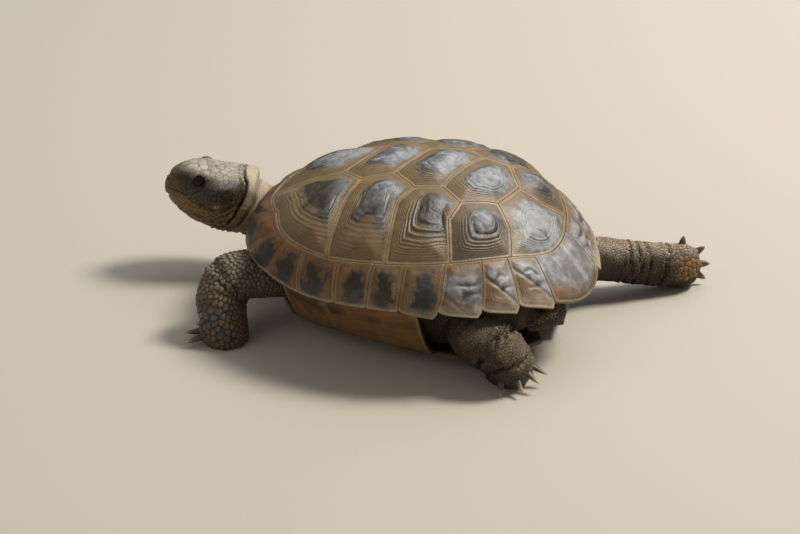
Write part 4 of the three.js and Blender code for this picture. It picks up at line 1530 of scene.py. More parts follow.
# ---------------------------------------------------------------- head
@dataclass
class HeadForm:
    """The head's smooth form: how far ahead, half its width, and its reach up and down."""

    rows: tuple[tuple[float, float, float, float], ...] = (
        (-9, 14.5, 10.5, 22), (0, 16.5, 12.5, 26.5), (9, 17.3, 13.8, 25.5), (19, 17, 15, 22.5),
        (28, 14.8, 15.5, 18.5), (34.3, 11.4, 13.8, 13.8), (39, 8.4, 11, 9.3), (41.8, 5.4, 6.8, 5.9),
        (43.2, 2.5, 3, 3), (43.5, 0.01, 0.01, 0.01))
    squareness: float = 0.9
    inset: float = 0.35
    columns: int = 72
    samples: int = 90

    def __post_init__(self) -> None:
        """Work out the sections along the head."""
        self.sections = Limb.path(np.array(self.rows, float), np.linspace(0.0, 1.0, self.samples))
        order = np.maximum.accumulate(self.sections[:, 0] + np.arange(self.samples) * 1e-6)
        self.sections[:, 0] = order

    def size_at(self, at: Array) -> tuple[Array, Array, Array]:
        """Return half the width and the reach up and down, this far ahead."""
        return tuple(np.interp(at, self.sections[:, 0], self.sections[:, k]) for k in (1, 2, 3))

    @staticmethod
    def world(at: Array, side: Array, height: Array) -> Array:
        """Return places from how far ahead, to the left and up they are.

        Args:
            at: How far ahead, in millimetres.
            side: How far to the left.
            height: How far up.

        Returns:
            Places in the maker's millimetres.
        """
        flat = np.array(HEAD_START) + np.asarray(at)[..., None] * HEAD_AHEAD
        flat = flat + np.asarray(side)[..., None] * HEAD_ACROSS
        return flat + np.asarray(height)[..., None] * UPRIGHT

    @staticmethod
    def local(points: Array) -> tuple[Array, Array, Array]:
        """Return how far ahead, to the left and up places are."""
        away = points - np.array(HEAD_START)
        return dot(away, HEAD_AHEAD), dot(away, HEAD_ACROSS), away[..., 2]

    def solid(self) -> bpy.types.Mesh:
        """Return the head's closed mesh in metres.

        Returns:
            The mesh, in the frame.
        """
        angle = np.arange(self.columns + 1) * FULL_TURN / self.columns
        at, half, top, bottom = (column[:, None] for column in self.sections.T)
        cosine = np.sign(np.cos(angle)) * np.abs(np.cos(angle)) ** self.squareness
        sine = np.sign(np.sin(angle)) * np.abs(np.sin(angle)) ** self.squareness
        reach = np.where(sine > 0.0, top, bottom)
        ahead = np.broadcast_to(at, reach.shape)
        places = self.world(ahead, (half - self.inset) * cosine, (reach - self.inset) * sine)
        middle = np.zeros_like(at[:1])
        start = np.repeat(self.world(at[:1], middle, middle), self.columns + 1, axis=1)
        return laid_sheet("head", BENCH.to_frame(np.concatenate([start, places])), {})

    def skin_at(self, height: Array, w: Array, back: Array) -> Array:
        """Return places on the head at a height, going round the front from right to left.

        Args:
            height: How high the places are.
            w: From -1 on the right, through 0 in front, to 1 on the left.
            back: How far ahead the ends at -1 and 1 are.

        Returns:
            Places in the maker's millimetres.
        """
        at_table, _, top, bottom = self.sections.T
        reach = np.where(height[..., None] > 0.0, top, bottom)
        inside = np.where(np.abs(height)[..., None] < reach, at_table, -np.inf)
        front = inside.max(axis=-1)
        at = front - (front - back) * w ** 2
        width, up, down = self.size_at(at)
        share = np.clip(np.abs(height) / np.where(height > 0.0, up, down), 0.0, 1.0)
        sine = share ** (1.0 / self.squareness)
        side = width * np.sqrt(np.maximum(1.0 - sine ** 2, 0.0)) ** self.squareness
        return self.world(at, side * np.sign(w), height)


MOUTH = np.array([(8.0, -8.6), (13.2, -7.5), (20.0, -5.6), (23.8, -3.9), (27.2, -1.2), (30.0, 0.8),
                  (33.0, 2.0), (37.0, 2.3), (40.0, 2.2), (46.0, 1.6)])
BROW = np.array([(-4.0, 9.5), (2.0, 8.4), (8.0, 9.2), (15.0, 10.4), (20.0, 11.8), (26.0, 12.7), (33.0, 11.8),
                 (40.0, 9.5), (46.0, 5.0)])
NAPE = np.array([(-26.0, 19.0), (-22.0, 15.0), (-20.4, 13.4), (-16.4, 7.3), (-9.3, 2.2), (-3.0, -1.8),
                 (2.9, -3.9), (8.0, -4.4), (12.5, -1.4), (16.0, -0.8)])
JAWLINE = np.array([(3.0, -3.5), (9.0, -8.3), (14.0, -10.6), (19.2, -12.0), (26.0, -11.8), (33.0, -10.0)])


def nape(height: Array) -> Array:
    """Return how far ahead the fold behind the head lies at a height."""
    return np.interp(height, NAPE[:, 0], NAPE[:, 1])


def mouth_height(at: Array) -> Array:
    """Return the height of the mouth's line this far ahead."""
    return np.interp(at, MOUTH[:, 0], MOUTH[:, 1])


def brow_height(at: Array) -> Array:
    """Return the height of the line between crown and cheek this far ahead."""
    return np.interp(at, BROW[:, 0], BROW[:, 1])


@dataclass(frozen=True)
class Lids:
    """The opening between the lids, and how the skin wraps the eyeball."""

    centre: tuple[float, float, float] = (EYE_AT - 0.3, EYE_ACROSS, EYE_HEIGHT + 0.3)
    rise: float = 22.0
    forward: float = 6.0
    half_length: float = 4.2
    half_height: float = 3.3
    cant: float = 10.0
    lid: float = 0.45
    reach: float = 1.95

    def axes(self, side: float) -> tuple[Array, Array, Array]:
        """Return the eye's outward, forward and upward directions on one side, in the head's frame.

        Args:
            side: 1 on the left, -1 on the right.

        Returns:
            The three directions, of length one.
        """
        rise, forward = math.radians(self.rise), math.radians(self.forward)
        out = np.array([math.sin(forward), side * math.cos(forward) * math.cos(rise), math.sin(rise)])
        out = out / np.linalg.norm(out)
        ahead = unit(np.array([1.0, 0.0, 0.0]) - out * out[0])
        up = np.cross(out, ahead) * side
        up = up if up[2] > 0.0 else -up
        cant = math.radians(self.cant)
        level, lifted = math.cos(cant), math.sin(cant)
        return out, ahead * level + up * lifted, up * level - ahead * lifted

    def ring(self, local: Array, side: float) -> tuple[Array, Array, Array, Array]:
        """Return each point's ring about the opening, 1 at the lid's edge, and its ray from the eye.

        Args:
            local: Places in the head's frame.
            side: 1 on the left, -1 on the right.

        Returns:
            The ring number, the direction from the eye's middle, the distance, and the height.
        """
        ahead_at, across, height = self.centre
        away = local - np.array([ahead_at, side * across, height])
        out, ahead, up = self.axes(side)
        distance = np.linalg.norm(away, axis=-1)
        ray = away / np.maximum(distance, 1e-6)[..., None]
        facing = dot(ray, out)
        scale = np.where(facing > 0.05, EYE_RADIUS / np.maximum(facing, 0.05), 90.0)
        x, y = dot(ray, ahead) * scale, dot(ray, up) * scale
        corner = 1.0 - 0.32 * np.clip(np.abs(x) / self.half_length, 0.0, 1.2) ** 2
        number = np.hypot(x / self.half_length, y / (self.half_height * corner))
        return np.where(facing > 0.05, number, 99.0), ray, distance, y

    def nearest(self, local: Array) -> Array:
        """Return each point's ring about the nearer eye."""
        return np.minimum(self.ring(local, 1.0)[0], self.ring(local, -1.0)[0])

    def wrap(self, local: Array) -> Array:
        """Press the skin round both eyeballs and open the lids.

        Args:
            local: Places in the head's frame.

        Returns:
            The moved places.
        """
        shaped = local.copy()
        for side in SIDES:
            number, ray, distance, y = self.ring(local, side)
            lid = EYE_RADIUS + self.lid * (1.0 + 0.35 * bump(number, 1.22, 0.12))
            lid = lid - 0.55 * bump(number, 1.5, 0.09) + 0.2 * bump(number, 1.25, 0.12) * (y > 0.0)
            under = EYE_RADIUS - 0.8
            wrapped = np.where(number < 1.06, under + (lid - under) * smooth_step(0.97, 1.06, number), lid)
            hold = smooth_fall(1.35, self.reach, number)
            ball = EYE_RADIUS + self.lid
            eased = distance + (np.minimum(wrapped - ball, 0.9) + ball - distance) * hold
            eased = eased - 0.35 * bump(number, 1.85, 0.12) * (number < 3.0)
            centre = np.array([self.centre[0], side * self.centre[1], self.centre[2]])
            near = (number < 3.0)[..., None]
            shaped = np.where(near, centre + ray * eased[..., None], shaped)
        return shaped


LIDS = Lids()


# ---------------------------------------------------------------- claws
@dataclass(frozen=True)
class Claw:
    """One claw: its root, the way it points, the way across it, and its size."""

    root: Array
    ahead: Array
    across: Array
    length: float
    radius: float
    drawn_back: float = 0.95
    buried: float = 0.16
    sag: float = 0.17
    breadth: float = 0.92
    depth: float = 0.8
    ground: float = 0.15

    def rows(self, columns: int = 16, steps: int = 14) -> Array:
        """Return the claw's rows of places from inside the toe to the tip.

        Args:
            columns: How many faces it has round it.
            steps: How many rows it has along it.

        Returns:
            Places in the maker's millimetres, by row and column.
        """
        upward = np.cross(self.across, self.ahead)
        s = np.linspace(-self.buried, 1.0, steps)[:, None]
        angle = np.arange(columns + 1)[None] * FULL_TURN / columns
        girth = np.clip(1.0 - np.clip(s, 0.0, 1.0) ** 1.7, 0.0, 1.0) ** 0.62
        girth = np.where(s < 0.0, 0.86, 0.86 + 0.14 * smooth_step(0.0, 0.2, s)) * girth
        keel = 1.0 - 0.16 * smooth_step(0.2, 0.8, -np.sin(angle))
        sag = -self.length * self.sag * np.clip(s, 0.0, 1.0) ** 2.0
        ridges = 1.0 + 0.02 * np.cos(angle * 7.0)
        wide = girth * self.radius * self.breadth * ridges * np.cos(angle)
        tall = girth * self.radius * self.depth * keel * np.sin(angle)
        run = np.broadcast_to(s * self.length * self.drawn_back, (steps, columns + 1))
        places = self.root + run[..., None] * self.ahead
        places = places + (sag + tall)[..., None] * upward
        places = places + wide[..., None] * self.across
        places[..., 2] = np.maximum(places[..., 2], self.ground)
        start = np.repeat(places[:1].mean(axis=1, keepdims=True), columns + 1, axis=1)
        end = np.repeat(places[-1:].mean(axis=1, keepdims=True), columns + 1, axis=1)
        return np.concatenate([start, places, end])


@dataclass(frozen=True)
class ClawFan:
    """The claws of a foot, spread in a fan."""

    ROOT = linear("2c241b")
    SHAFT = linear("5c4e3c")
    TIP = linear("bd9b72")
    name: str
    angles: tuple[float, ...]
    middle: tuple[float, float, float]
    ahead: tuple[float, float, float]
    spread: tuple[float, float, float]
    reach: float
    length: float
    radius: float
    slope: float

    def claws(self) -> list[Claw]:
        """Return the foot's claws.

        Returns:
            The claws, in order round the foot.
        """
        forward, side = unit(np.array(self.ahead, float)), unit(np.array(self.spread, float))
        down = unit(np.cross(side, forward))
        down = -down if down[2] > 0.0 else down
        slope = math.radians(self.slope)
        made = []
        for degrees in self.angles:
            turn = math.radians(degrees)
            way = unit(forward * math.cos(turn) + side * math.sin(turn))
            root = np.array(self.middle) + way * self.reach
            across = unit(np.cross(way, down))
            made.append(Claw(root, way * math.cos(slope) + down * math.sin(slope), across,
                             self.length, self.radius))
        return made

    def build(self, finish: bpy.types.Material) -> bpy.types.Object:
        """Build the foot's claws as one piece.

        Args:
            finish: The claws' finish.

        Returns:
            The joined piece.
        """
        work = bmesh.new()
        for claw in self.claws():
            rows = claw.rows()
            share = np.linspace(0.0, 1.0, len(rows))[:, None] * np.ones(rows.shape[1])
            tone = blend(np.broadcast_to(self.ROOT, rows.shape), self.SHAFT,
                         smooth_step(0.15, 0.7, share + 0.15 * Grain.value(rows, 2.0, 71)))
            tone = blend(tone, self.TIP, smooth_step(0.62, 0.98, share))
            mesh = laid_sheet("claw", BENCH.to_frame(rows), {TONE: tone})
            work.from_mesh(mesh)
            bpy.data.meshes.remove(mesh)
        joined = bpy.data.meshes.new(f"{self.name}_claws")
        work.to_mesh(joined)
        work.free()
        return link(f"{self.name}_claws", joined, finish)


FANS = [
    ClawFan("foreleg_left", (-38, -8, 22, 52), (-73.5, -83.5, 6), (-1, 0, 0), (0, -1, 0), 12, 12, 2.5, 24),
    ClawFan("foreleg_right", (-38, -8, 22, 52), (-98, 79, 6), (-1, 0, 0), (0, 1, 0), 13, 12, 2.5, 24),
    ClawFan("hindleg_left", (-8, 26, 56, 84), (75, -44, 9.5), (0.35, -1, 0), (1, 0.35, 0.3),
            11, 12.5, 2.2, 52),
    ClawFan("hindleg_right", (-34, -2, 32, 76), (103.5, 102, 12.5), (0.7, 0.7, 0), (-0.2, 0, 1),
            10, 8, 2.5, 0),
]


# ---------------------------------------------------------------- one skin
class Region(Enum):
    """The regions of the skin, in the order of their charts."""

    TRUNK = 0
    HEAD = 1
    NECK = 2
    TAIL = 3
    FORELEG_LEFT = 4
    FORELEG_RIGHT = 5
    HINDLEG_LEFT = 6
    HINDLEG_RIGHT = 7


LIMBS = {
    Region.NECK: NECK, Region.TAIL: TAIL, Region.FORELEG_LEFT: FORELEG_LEFT,
    Region.FORELEG_RIGHT: FORELEG_RIGHT, Region.HINDLEG_LEFT: HINDLEG_LEFT,
    Region.HINDLEG_RIGHT: HINDLEG_RIGHT,
}
FORELEGS = (Region.FORELEG_LEFT, Region.FORELEG_RIGHT)


@dataclass
class Survey:
    """What is known of places on the skin: their region and where they lie in it."""

    points: Array
    region: Array
    along: Array
    angle: Array
    distal: Array

    def pick(self, chosen: Array) -> Survey:
        """Return the survey of some of the places."""
        return Survey(self.points[chosen], self.region[chosen], self.along[chosen], self.angle[chosen],
                      self.distal[chosen])

    def within(self, *regions: Region) -> Array:
        """Return which places lie in the regions."""
        return np.isin(self.region, [r.value for r in regions])

    def head(self) -> Array:
        """Return the places in the head's frame."""
        return np.stack(HeadForm.local(self.points), -1)


def under_shell(points: Array) -> Array:
    """Return how far out under the shell places are: 0 in its middle, 1 near the rim.

    Args:
        points: Places in the maker's millimetres.

    Returns:
        One number for each place.
    """
    form = ShellForm()
    along = (points[:, 0] - form.widest_station) / form.half_length
    return along ** 2 + (points[:, 1] / form.half_width) ** 2


# Deep under the shell the skin is the trunk's unless a limb is very near; beside the neck, a limb
# may be farther off. The gaps are in shares of the limb's radius.
DEEP_UNDER, HIDDEN_UNDER = 0.36, 0.5
DEEP_GAP, OPEN_GAP, NECK_GAP = 0.2, 1.9, 4.0


def survey(points: Array) -> Survey:
    """Find the region of each place, and where it lies along and round that region.

    Args:
        points: Places in the maker's millimetres.

    Returns:
        The survey of the places.
    """
    best = np.where(under_shell(points) < DEEP_UNDER, DEEP_GAP, OPEN_GAP)
    ahead = (points[:, 0] < HEAD_START[0] + 20.0) & (points[:, 1] < 45.0) & (points[:, 2] > 12.0)
    best = np.where(ahead, NECK_GAP, best)
    region = np.full(len(points), Region.TRUNK.value)
    along = np.zeros(len(points))
    angle = np.zeros(len(points))
    distal = np.zeros_like(points)
    for place, limb in LIMBS.items():
        way, turn, gap = limb.locate(points)
        near = gap < best
        best = np.where(near, gap, best)
        region[near], along[near], angle[near] = place.value, way[near], turn[near]
        distal[near] = limb.distal(way[near])
    at, side, height = HeadForm.local(points)
    near = (at > nape(height)) & (points[:, 0] < -100.0)
    region[near], along[near] = Region.HEAD.value, at[near]
    angle[near] = np.arctan2(height[near] + 3.0, side[near])
    distal[near] = HEAD_AHEAD
    return Survey(points, region, along, angle, distal)


@dataclass(frozen=True)
class Crease:
    """A crease round part of a limb: its way along at each angle in degrees, its depth and width."""

    limb: Region
    angles: tuple[float, ...]
    alongs: tuple[float, ...]
    depth: float = 1.5
    width: float = 0.9

    def depth_at(self, here: Survey) -> Array:
        """Return how deep the crease is at surveyed places, in millimetres.

        Args:
            here: The surveyed places.

        Returns:
            One depth for each place, negative on the banks.
        """
        middle = (self.angles[0] + self.angles[-1]) / 2.0
        angle = np.mod(np.degrees(here.angle) - middle + 180.0, 360.0) - 180.0 + middle
        drift = 0.8 * Grain.value(here.points, 6.0, 87)
        line = here.along + drift - np.interp(angle, self.angles, self.alongs)
        live = smooth_step(self.angles[0] - 25.0, self.angles[0], angle)
        live = live * smooth_fall(self.angles[-1], self.angles[-1] + 25.0, angle)
        ditch = bump(line, 0.0, self.width) - 0.4 * bump(np.abs(line), 2.3 * self.width, self.width)
        return self.depth * ditch * live * here.within(self.limb)


CREASES = (
    Crease(Region.FORELEG_LEFT, (-40, 0, 60, 110), (46, 45, 44, 43.5), 1.6),
    Crease(Region.FORELEG_LEFT, (-60, -40, 0, 45), (54, 53, 50, 46.5), 1.8),
    Crease(Region.FORELEG_LEFT, (-80, -50, -10), (60, 58, 55), 1.2),
    Crease(Region.FORELEG_LEFT, (-20, 40, 100), (31, 31.5, 32), 1.1),
    Crease(Region.FORELEG_RIGHT, (130, 180, 240), (44, 46, 48), 1.6),
    Crease(Region.FORELEG_RIGHT, (150, 190, 240), (51, 53, 55), 1.3),
    Crease(Region.HINDLEG_LEFT, (10, 70, 140, 200), (50, 46, 42.5, 42), 2.6, 0.9),
    Crease(Region.HINDLEG_LEFT, (60, 110, 180, 225), (57, 53.5, 50, 49), 2.2, 0.8),
    Crease(Region.HINDLEG_LEFT, (30, 90, 170), (36, 34, 33.5), 1.0),
    Crease(Region.HINDLEG_RIGHT, (60, 120, 180, 240), (62, 63, 64, 63), 1.5, 0.8),
    Crease(Region.HINDLEG_RIGHT, (60, 120, 180, 240), (67, 68, 69.5, 68), 1.3, 0.8),
    Crease(Region.HINDLEG_RIGHT, (60, 120, 180, 240), (73, 73.5, 75, 76), 1.1, 0.8),
    Crease(Region.HINDLEG_RIGHT, (60, 120, 180, 240), (87, 86, 84, 83), 1.5),
)


def leg_folds(here: Survey) -> Array:
    """Return how far the skin of legs and tail stands out or dips, in millimetres.

    Args:
        here: The surveyed places.

    Returns:
        One height for each place.
    """
    height = 0.55 * Grain.layered(here.points, 9.0, 85)
    for crease in CREASES:
        height = height - crease.depth_at(here)
    return np.where(here.within(Region.HEAD, Region.TRUNK), 0.0, height)


# How far behind the head each fold lies, how deep it is, and its half width.
NECK_FOLDS = ((0.0, 1.9, 0.55), (-5.0, 1.6, 0.7), (-11.0, 1.0, 0.8), (-18.0, 0.9, 1.0))
WRINKLE_STEP = 2.4


def neck_folds(here: Survey) -> Array:
    """Return how far the folds behind the head stand out, in millimetres.

    Args:
        here: The surveyed places.

    Returns:
        One height for each place.
    """
    local = here.head()
    at, height = local[:, 0], local[:, 2]
    near = (at < 24.0) & (at > -46.0) & (here.points[:, 0] < -66.0) & (np.abs(here.points[:, 1]) < 40.0)
    drift = 0.7 * Grain.value(here.points, 9.0, 91)
    away = at + drift - nape(height)
    total = np.zeros(len(at))
    for place, depth, width in NECK_FOLDS:
        line = away - place * (1.0 - 0.012 * (height - 12.0))
        depth = depth * (1.0 - 0.8 * smooth_step(3.0, 9.0, height) * (place < 0.0))
        banks = bump(line, -1.9, 1.3) + bump(line, 1.7, 1.0)
        total += -depth * bump(line, 0.0, width) + 0.3 * depth * banks
    fine = 0.22 * np.abs(np.sin((away + drift * 2.0) * math.pi / WRINKLE_STEP))
    live = smooth_step(-44.0, -36.0, at) * smooth_fall(-2.0, 1.0, away)
    return np.where(near, total + fine * live, 0.0)


@dataclass(frozen=True)
class Patch:
    """A soft patch on the head: its middle and its reach, ahead and up, in millimetres."""

    at: float
    length: float
    height: float
    rise: float

    def over(self, at: Array, height: Array) -> Array:
        """Return how much of the patch covers places, from 0 to 1."""
        return bump(at, self.at, self.length) * bump(height, self.height, self.rise)


EAR_AT, EAR_HEIGHT, EAR_HALF_LENGTH, EAR_HALF_HEIGHT = 6.0, 0.5, 3.6, 4.4
NOSTRIL_ACROSS, NOSTRIL_HEIGHT, NOSTRIL_DEPTH = 2.4, 6.6, 1.2
NOSTRIL_HALF_WIDTH, NOSTRIL_HALF_HEIGHT = 0.85, 0.7
SNOUT_START = 38.0
# How far under the jaw each crease lies, and how deep it is.
JAW_CREASES = ((0.0, 0.8), (3.4, 0.6), (7.0, 0.45))
CHEEK_SHADE = Patch(12.0, 9.0, 1.5, 4.5)
SNOUT_SHADE = Patch(30.0, 5.0, 9.0, 3.0)
EYE_SHADE = Patch(21.0, 6.5, 7.6, 3.4)


def head_features(local: Array) -> Array:
    """Shape brow, cheek, jaw, mouth and nostrils on places in the head's frame.

    Args:
        local: Places as how far ahead, left and up.

    Returns:
        The moved places.
    """
    at, side, height = local.T
    out = unit(np.stack([np.clip(at - 30.0, 0.0, None) * 0.6, side, height + 2.0], -1))
    lift = np.zeros(len(at))
    over_brow = height - brow_height(at)
    lift += 0.8 * bump(over_brow, 0.3, 1.5) * bump(at, 22.0, 9.0) * (height > 4.0)
    lift += -0.5 * bump(over_brow, -2.6, 1.6) * bump(at, 30.0, 6.0)
    line = height - mouth_height(at)
    live = smooth_step(10.0, 22.0, at)
    lift += -1.15 * bump(line, 0.0, 0.42) * live
    lift += 0.35 * bump(line, 1.5, 1.1) * live
    lift += -0.35 * bump(line, -2.0, 1.6) * smooth_step(22.0, 32.0, at)
    lift += 0.7 * bump(at, 9.0, 6.0) * bump(height, -3.0, 6.5)
    ear = np.hypot((at - EAR_AT) / EAR_HALF_LENGTH, (height - EAR_HEIGHT) / EAR_HALF_HEIGHT)
    lift += -0.5 * smooth_fall(0.75, 1.0, ear) + 0.3 * bump(ear, 1.15, 0.14)
    below = np.interp(at, JAWLINE[:, 0], JAWLINE[:, 1]) - height
    for place, depth in JAW_CREASES:
        lift += -depth * bump(below, place, 0.5) + 0.35 * depth * bump(below, place + 1.6, 1.0)
    moved = local + out * lift[:, None]
    nostril = np.hypot((np.abs(side) - NOSTRIL_ACROSS) / NOSTRIL_HALF_WIDTH,
                       (height - NOSTRIL_HEIGHT) / NOSTRIL_HALF_HEIGHT) + (at < SNOUT_START) * 9.0
    moved[:, 0] -= NOSTRIL_DEPTH * smooth_fall(0.5, 1.1, nostril)
    front = smooth_step(SNOUT_START, 43.0, at)
    moved[:, 0] -= front * (0.9 * bump(height, 8.0, 2.6) + 1.3 * bump(height, -2.2, 3.0))
    return moved


class SkinTones:
    """The colours of skin and scales, by where they are."""

    CROWN = linear("a69d8f")
    # Blue-grey of a painted highlight on the temple.
    TEMPLE_HIGHLIGHT = linear("8b8c88")
    CHEEK = linear("281f15")
    FACE = linear("4c3d2a")
    JAW = linear("735628")
    THROAT = linear("68522f")
    # Neck: its own tan, with painted sunlight on top and painted shade underneath.
    NECK_SUNLIT_TOP = linear("c8baa2")
    NECK_SHADED_LOW = linear("7a6649")
    # Forelegs: painted sunlight high up and painted shade near the ground.
    FORELEG_SUNLIT_TOP = linear("6d6152")
    FORELEG = linear("675641")
    FORELEG_SHADED_LOW = linear("594930")
    SLATE = linear("4b5356")
    # Hind legs and tail: painted sunlight on top and painted shade underneath.
    HIND_SUNLIT_TOP = linear("8f806a")
    HIND = linear("3f3020")
    HIND_SHADED_LOW = linear("271c11")
    OCHRE = linear("9a7a42")
    GROOVE = linear("231a12")

    @classmethod
    def head(cls, here: Survey) -> Array:
        """Return the head's colour.

        Args:
            here: The surveyed places.

        Returns:
            One colour for each place.
        """
        local = here.head()
        at, _, height = local.T
        noise = Grain.layered(here.points, 4.0, 101)
        fine = Grain.layered(here.points, 1.6, 104)
        above = height - brow_height(at) + 0.9 * noise
        colour = blend(np.broadcast_to(cls.FACE, local.shape), cls.CHEEK,
                       0.75 * CHEEK_SHADE.over(at, height) + 0.2 * noise)
        # Painted highlight: blue-grey sheen over the temple.
        temple_highlight = bump(at, 8.0, 7.5) * smooth_step(4.5, 7.5, height + 0.8 * noise)
        colour = blend(colour, cls.TEMPLE_HIGHLIGHT, 0.85 * temple_highlight)
        brow = smooth_step(9.6, 11.0, height) * bump(at, EYE_AT, 7.0)
        colour = blend(colour, cls.CROWN, np.maximum(smooth_step(-0.8, 1.4, above), 0.9 * brow))
        smudge = smooth_step(0.0, 0.55, fine + 0.6 * noise) * smooth_step(0.0, 2.0, above)
        colour = blend(colour, cls.FACE, (0.3 + 0.25 * smooth_step(14.0, 34.0, at)) * smudge)
        colour = blend(colour, cls.FACE, 0.65 * smooth_step(28.0, 36.0, at + 2.0 * noise))
        dark = SNOUT_SHADE.over(at, height) + EYE_SHADE.over(at, height)
        colour = blend(colour, cls.CHEEK, np.clip(0.85 * dark + 0.3 * noise * dark, 0.0, 1.0))
        colour = blend(colour, cls.JAW, 0.5 * smooth_step(30.0, 38.0, at) * bump(height, 4.0, 5.0))
        below = mouth_height(at) - height + 0.5 * noise
        colour = blend(colour, cls.JAW, 0.8 * smooth_step(0.0, 2.2, below) * smooth_step(6.0, 14.0, at))
        under = np.interp(at, JAWLINE[:, 0], JAWLINE[:, 1]) - height + 0.5 * noise
        colour = blend(colour, cls.THROAT, smooth_step(-0.6, 1.2, under))
        spot = np.hypot((at - 12.6) / 2.6, (height + 4.1) / 1.5) + 0.25 * noise
        colour = blend(colour, cls.OCHRE, 0.8 * smooth_fall(0.5, 1.25, spot))
        streak = bump(under, -1.3, 0.9) + 0.7 * bump(under, -4.2, 0.8)
        return blend(colour, cls.OCHRE, 0.5 * streak * bump(at, 15.0, 11.0) * smooth_step(-0.5, 0.4, fine))

    @classmethod
    def neck(cls, here: Survey) -> Array:
        """Return the neck's colour, with painted sunlight on top and painted shade underneath.

        Args:
            here: The surveyed places.

        Returns:
            One colour for each place.
        """
        noise = Grain.layered(here.points, 6.0, 111)
        local = here.head()
        # Painted light: the neck is paler on top and darker underneath.
        up = smooth_step(-9.0, 9.0, local[:, 2] + 2.5 * noise)
        colour = blend(np.broadcast_to(cls.NECK_SHADED_LOW, here.points.shape), cls.NECK_SUNLIT_TOP, up)
        return blend(colour, cls.GROOVE, 0.2 * smooth_step(0.2, 0.7, noise))

    @classmethod
    def legs(cls, here: Survey) -> Array:
        """Return the colour of legs and tail, with painted sunlight on top and painted shade underneath and
        near the ground.

        Args:
            here: The surveyed places.

        Returns:
            One colour for each place.
        """
        noise = Grain.layered(here.points, 8.0, 121)
        fine = Grain.layered(here.points, 3.0, 124)
        up = np.sin(here.angle)
        # Painted light: the foreleg is paler high up and darker near the ground.
        fore = blend(np.broadcast_to(cls.FORELEG, here.points.shape), cls.FORELEG_SUNLIT_TOP,
                     smooth_step(22.0, 34.0, here.points[:, 2] + 3.0 * noise))
        fore = blend(fore, cls.FORELEG_SHADED_LOW, smooth_fall(3.0, 17.0, here.points[:, 2] + 3.0 * noise))
        slated = 0.7 * smooth_step(0.1, 0.5, fine) * bump(here.points[:, 2], 14.0, 8.0)
        fore = blend(fore, cls.SLATE, slated)
        # Painted light: hind legs and tail are paler on top and darker underneath; the left hind leg, away
        # from the light, gets less of the painted sunlight.
        back = 1.0 - 0.6 * here.within(Region.HINDLEG_LEFT)
        hind = blend(np.broadcast_to(cls.HIND, here.points.shape), cls.HIND_SUNLIT_TOP,
                     smooth_step(0.3, 1.0, up + 0.4 * noise) * back)
        hind = blend(hind, cls.HIND_SHADED_LOW, smooth_step(-0.2, 0.8, -up + 0.3 * noise))
        hind = blend(hind, cls.SLATE, 0.35 * smooth_step(0.2, 0.6, fine))
        hind = blend(hind, cls.OCHRE, 0.35 * smooth_step(0.45, 0.8, noise))
        hind = blend(hind, cls.OCHRE, 0.6 * ScaleCoat.pads(here) * smooth_step(-0.9, 0.3, fine))
        return np.where(here.within(*FORELEGS)[:, None], fore, hind)

    @classmethod
    def at(cls, here: Survey) -> Array:
        """Return the colour at surveyed places.

        Args:
            here: The surveyed places.

        Returns:
            One colour for each place.
        """
        colour = cls.legs(here)
        colour = np.where(here.within(Region.NECK, Region.TRUNK)[:, None], cls.neck(here), colour)
        colour = np.where(here.within(Region.HEAD)[:, None], cls.head(here), colour)
        # Painted shade in the folds behind the head: along the fold at the nape and the one behind it, low on
        # the neck.
        at, _, height = here.head().T
        away = at + 0.5 * Grain.value(here.points, 9.0, 91) - nape(height)
        second = 0.7 * bump(away, -5.0, 0.8) * smooth_fall(3.0, 9.0, height)
        cut = (bump(away, 0.0, 0.9) + second) * here.within(Region.HEAD, Region.NECK)
        return blend(colour, cls.GROOVE, 0.75 * cut)


# How far behind the claw's root a toe's middle lies, its half length, and its shares of the claw's radius.
TOE_BEHIND, TOE_LENGTH, TOE_WIDTH, TOE_HEIGHT = 1.6, 5.2, 1.5, 1.45


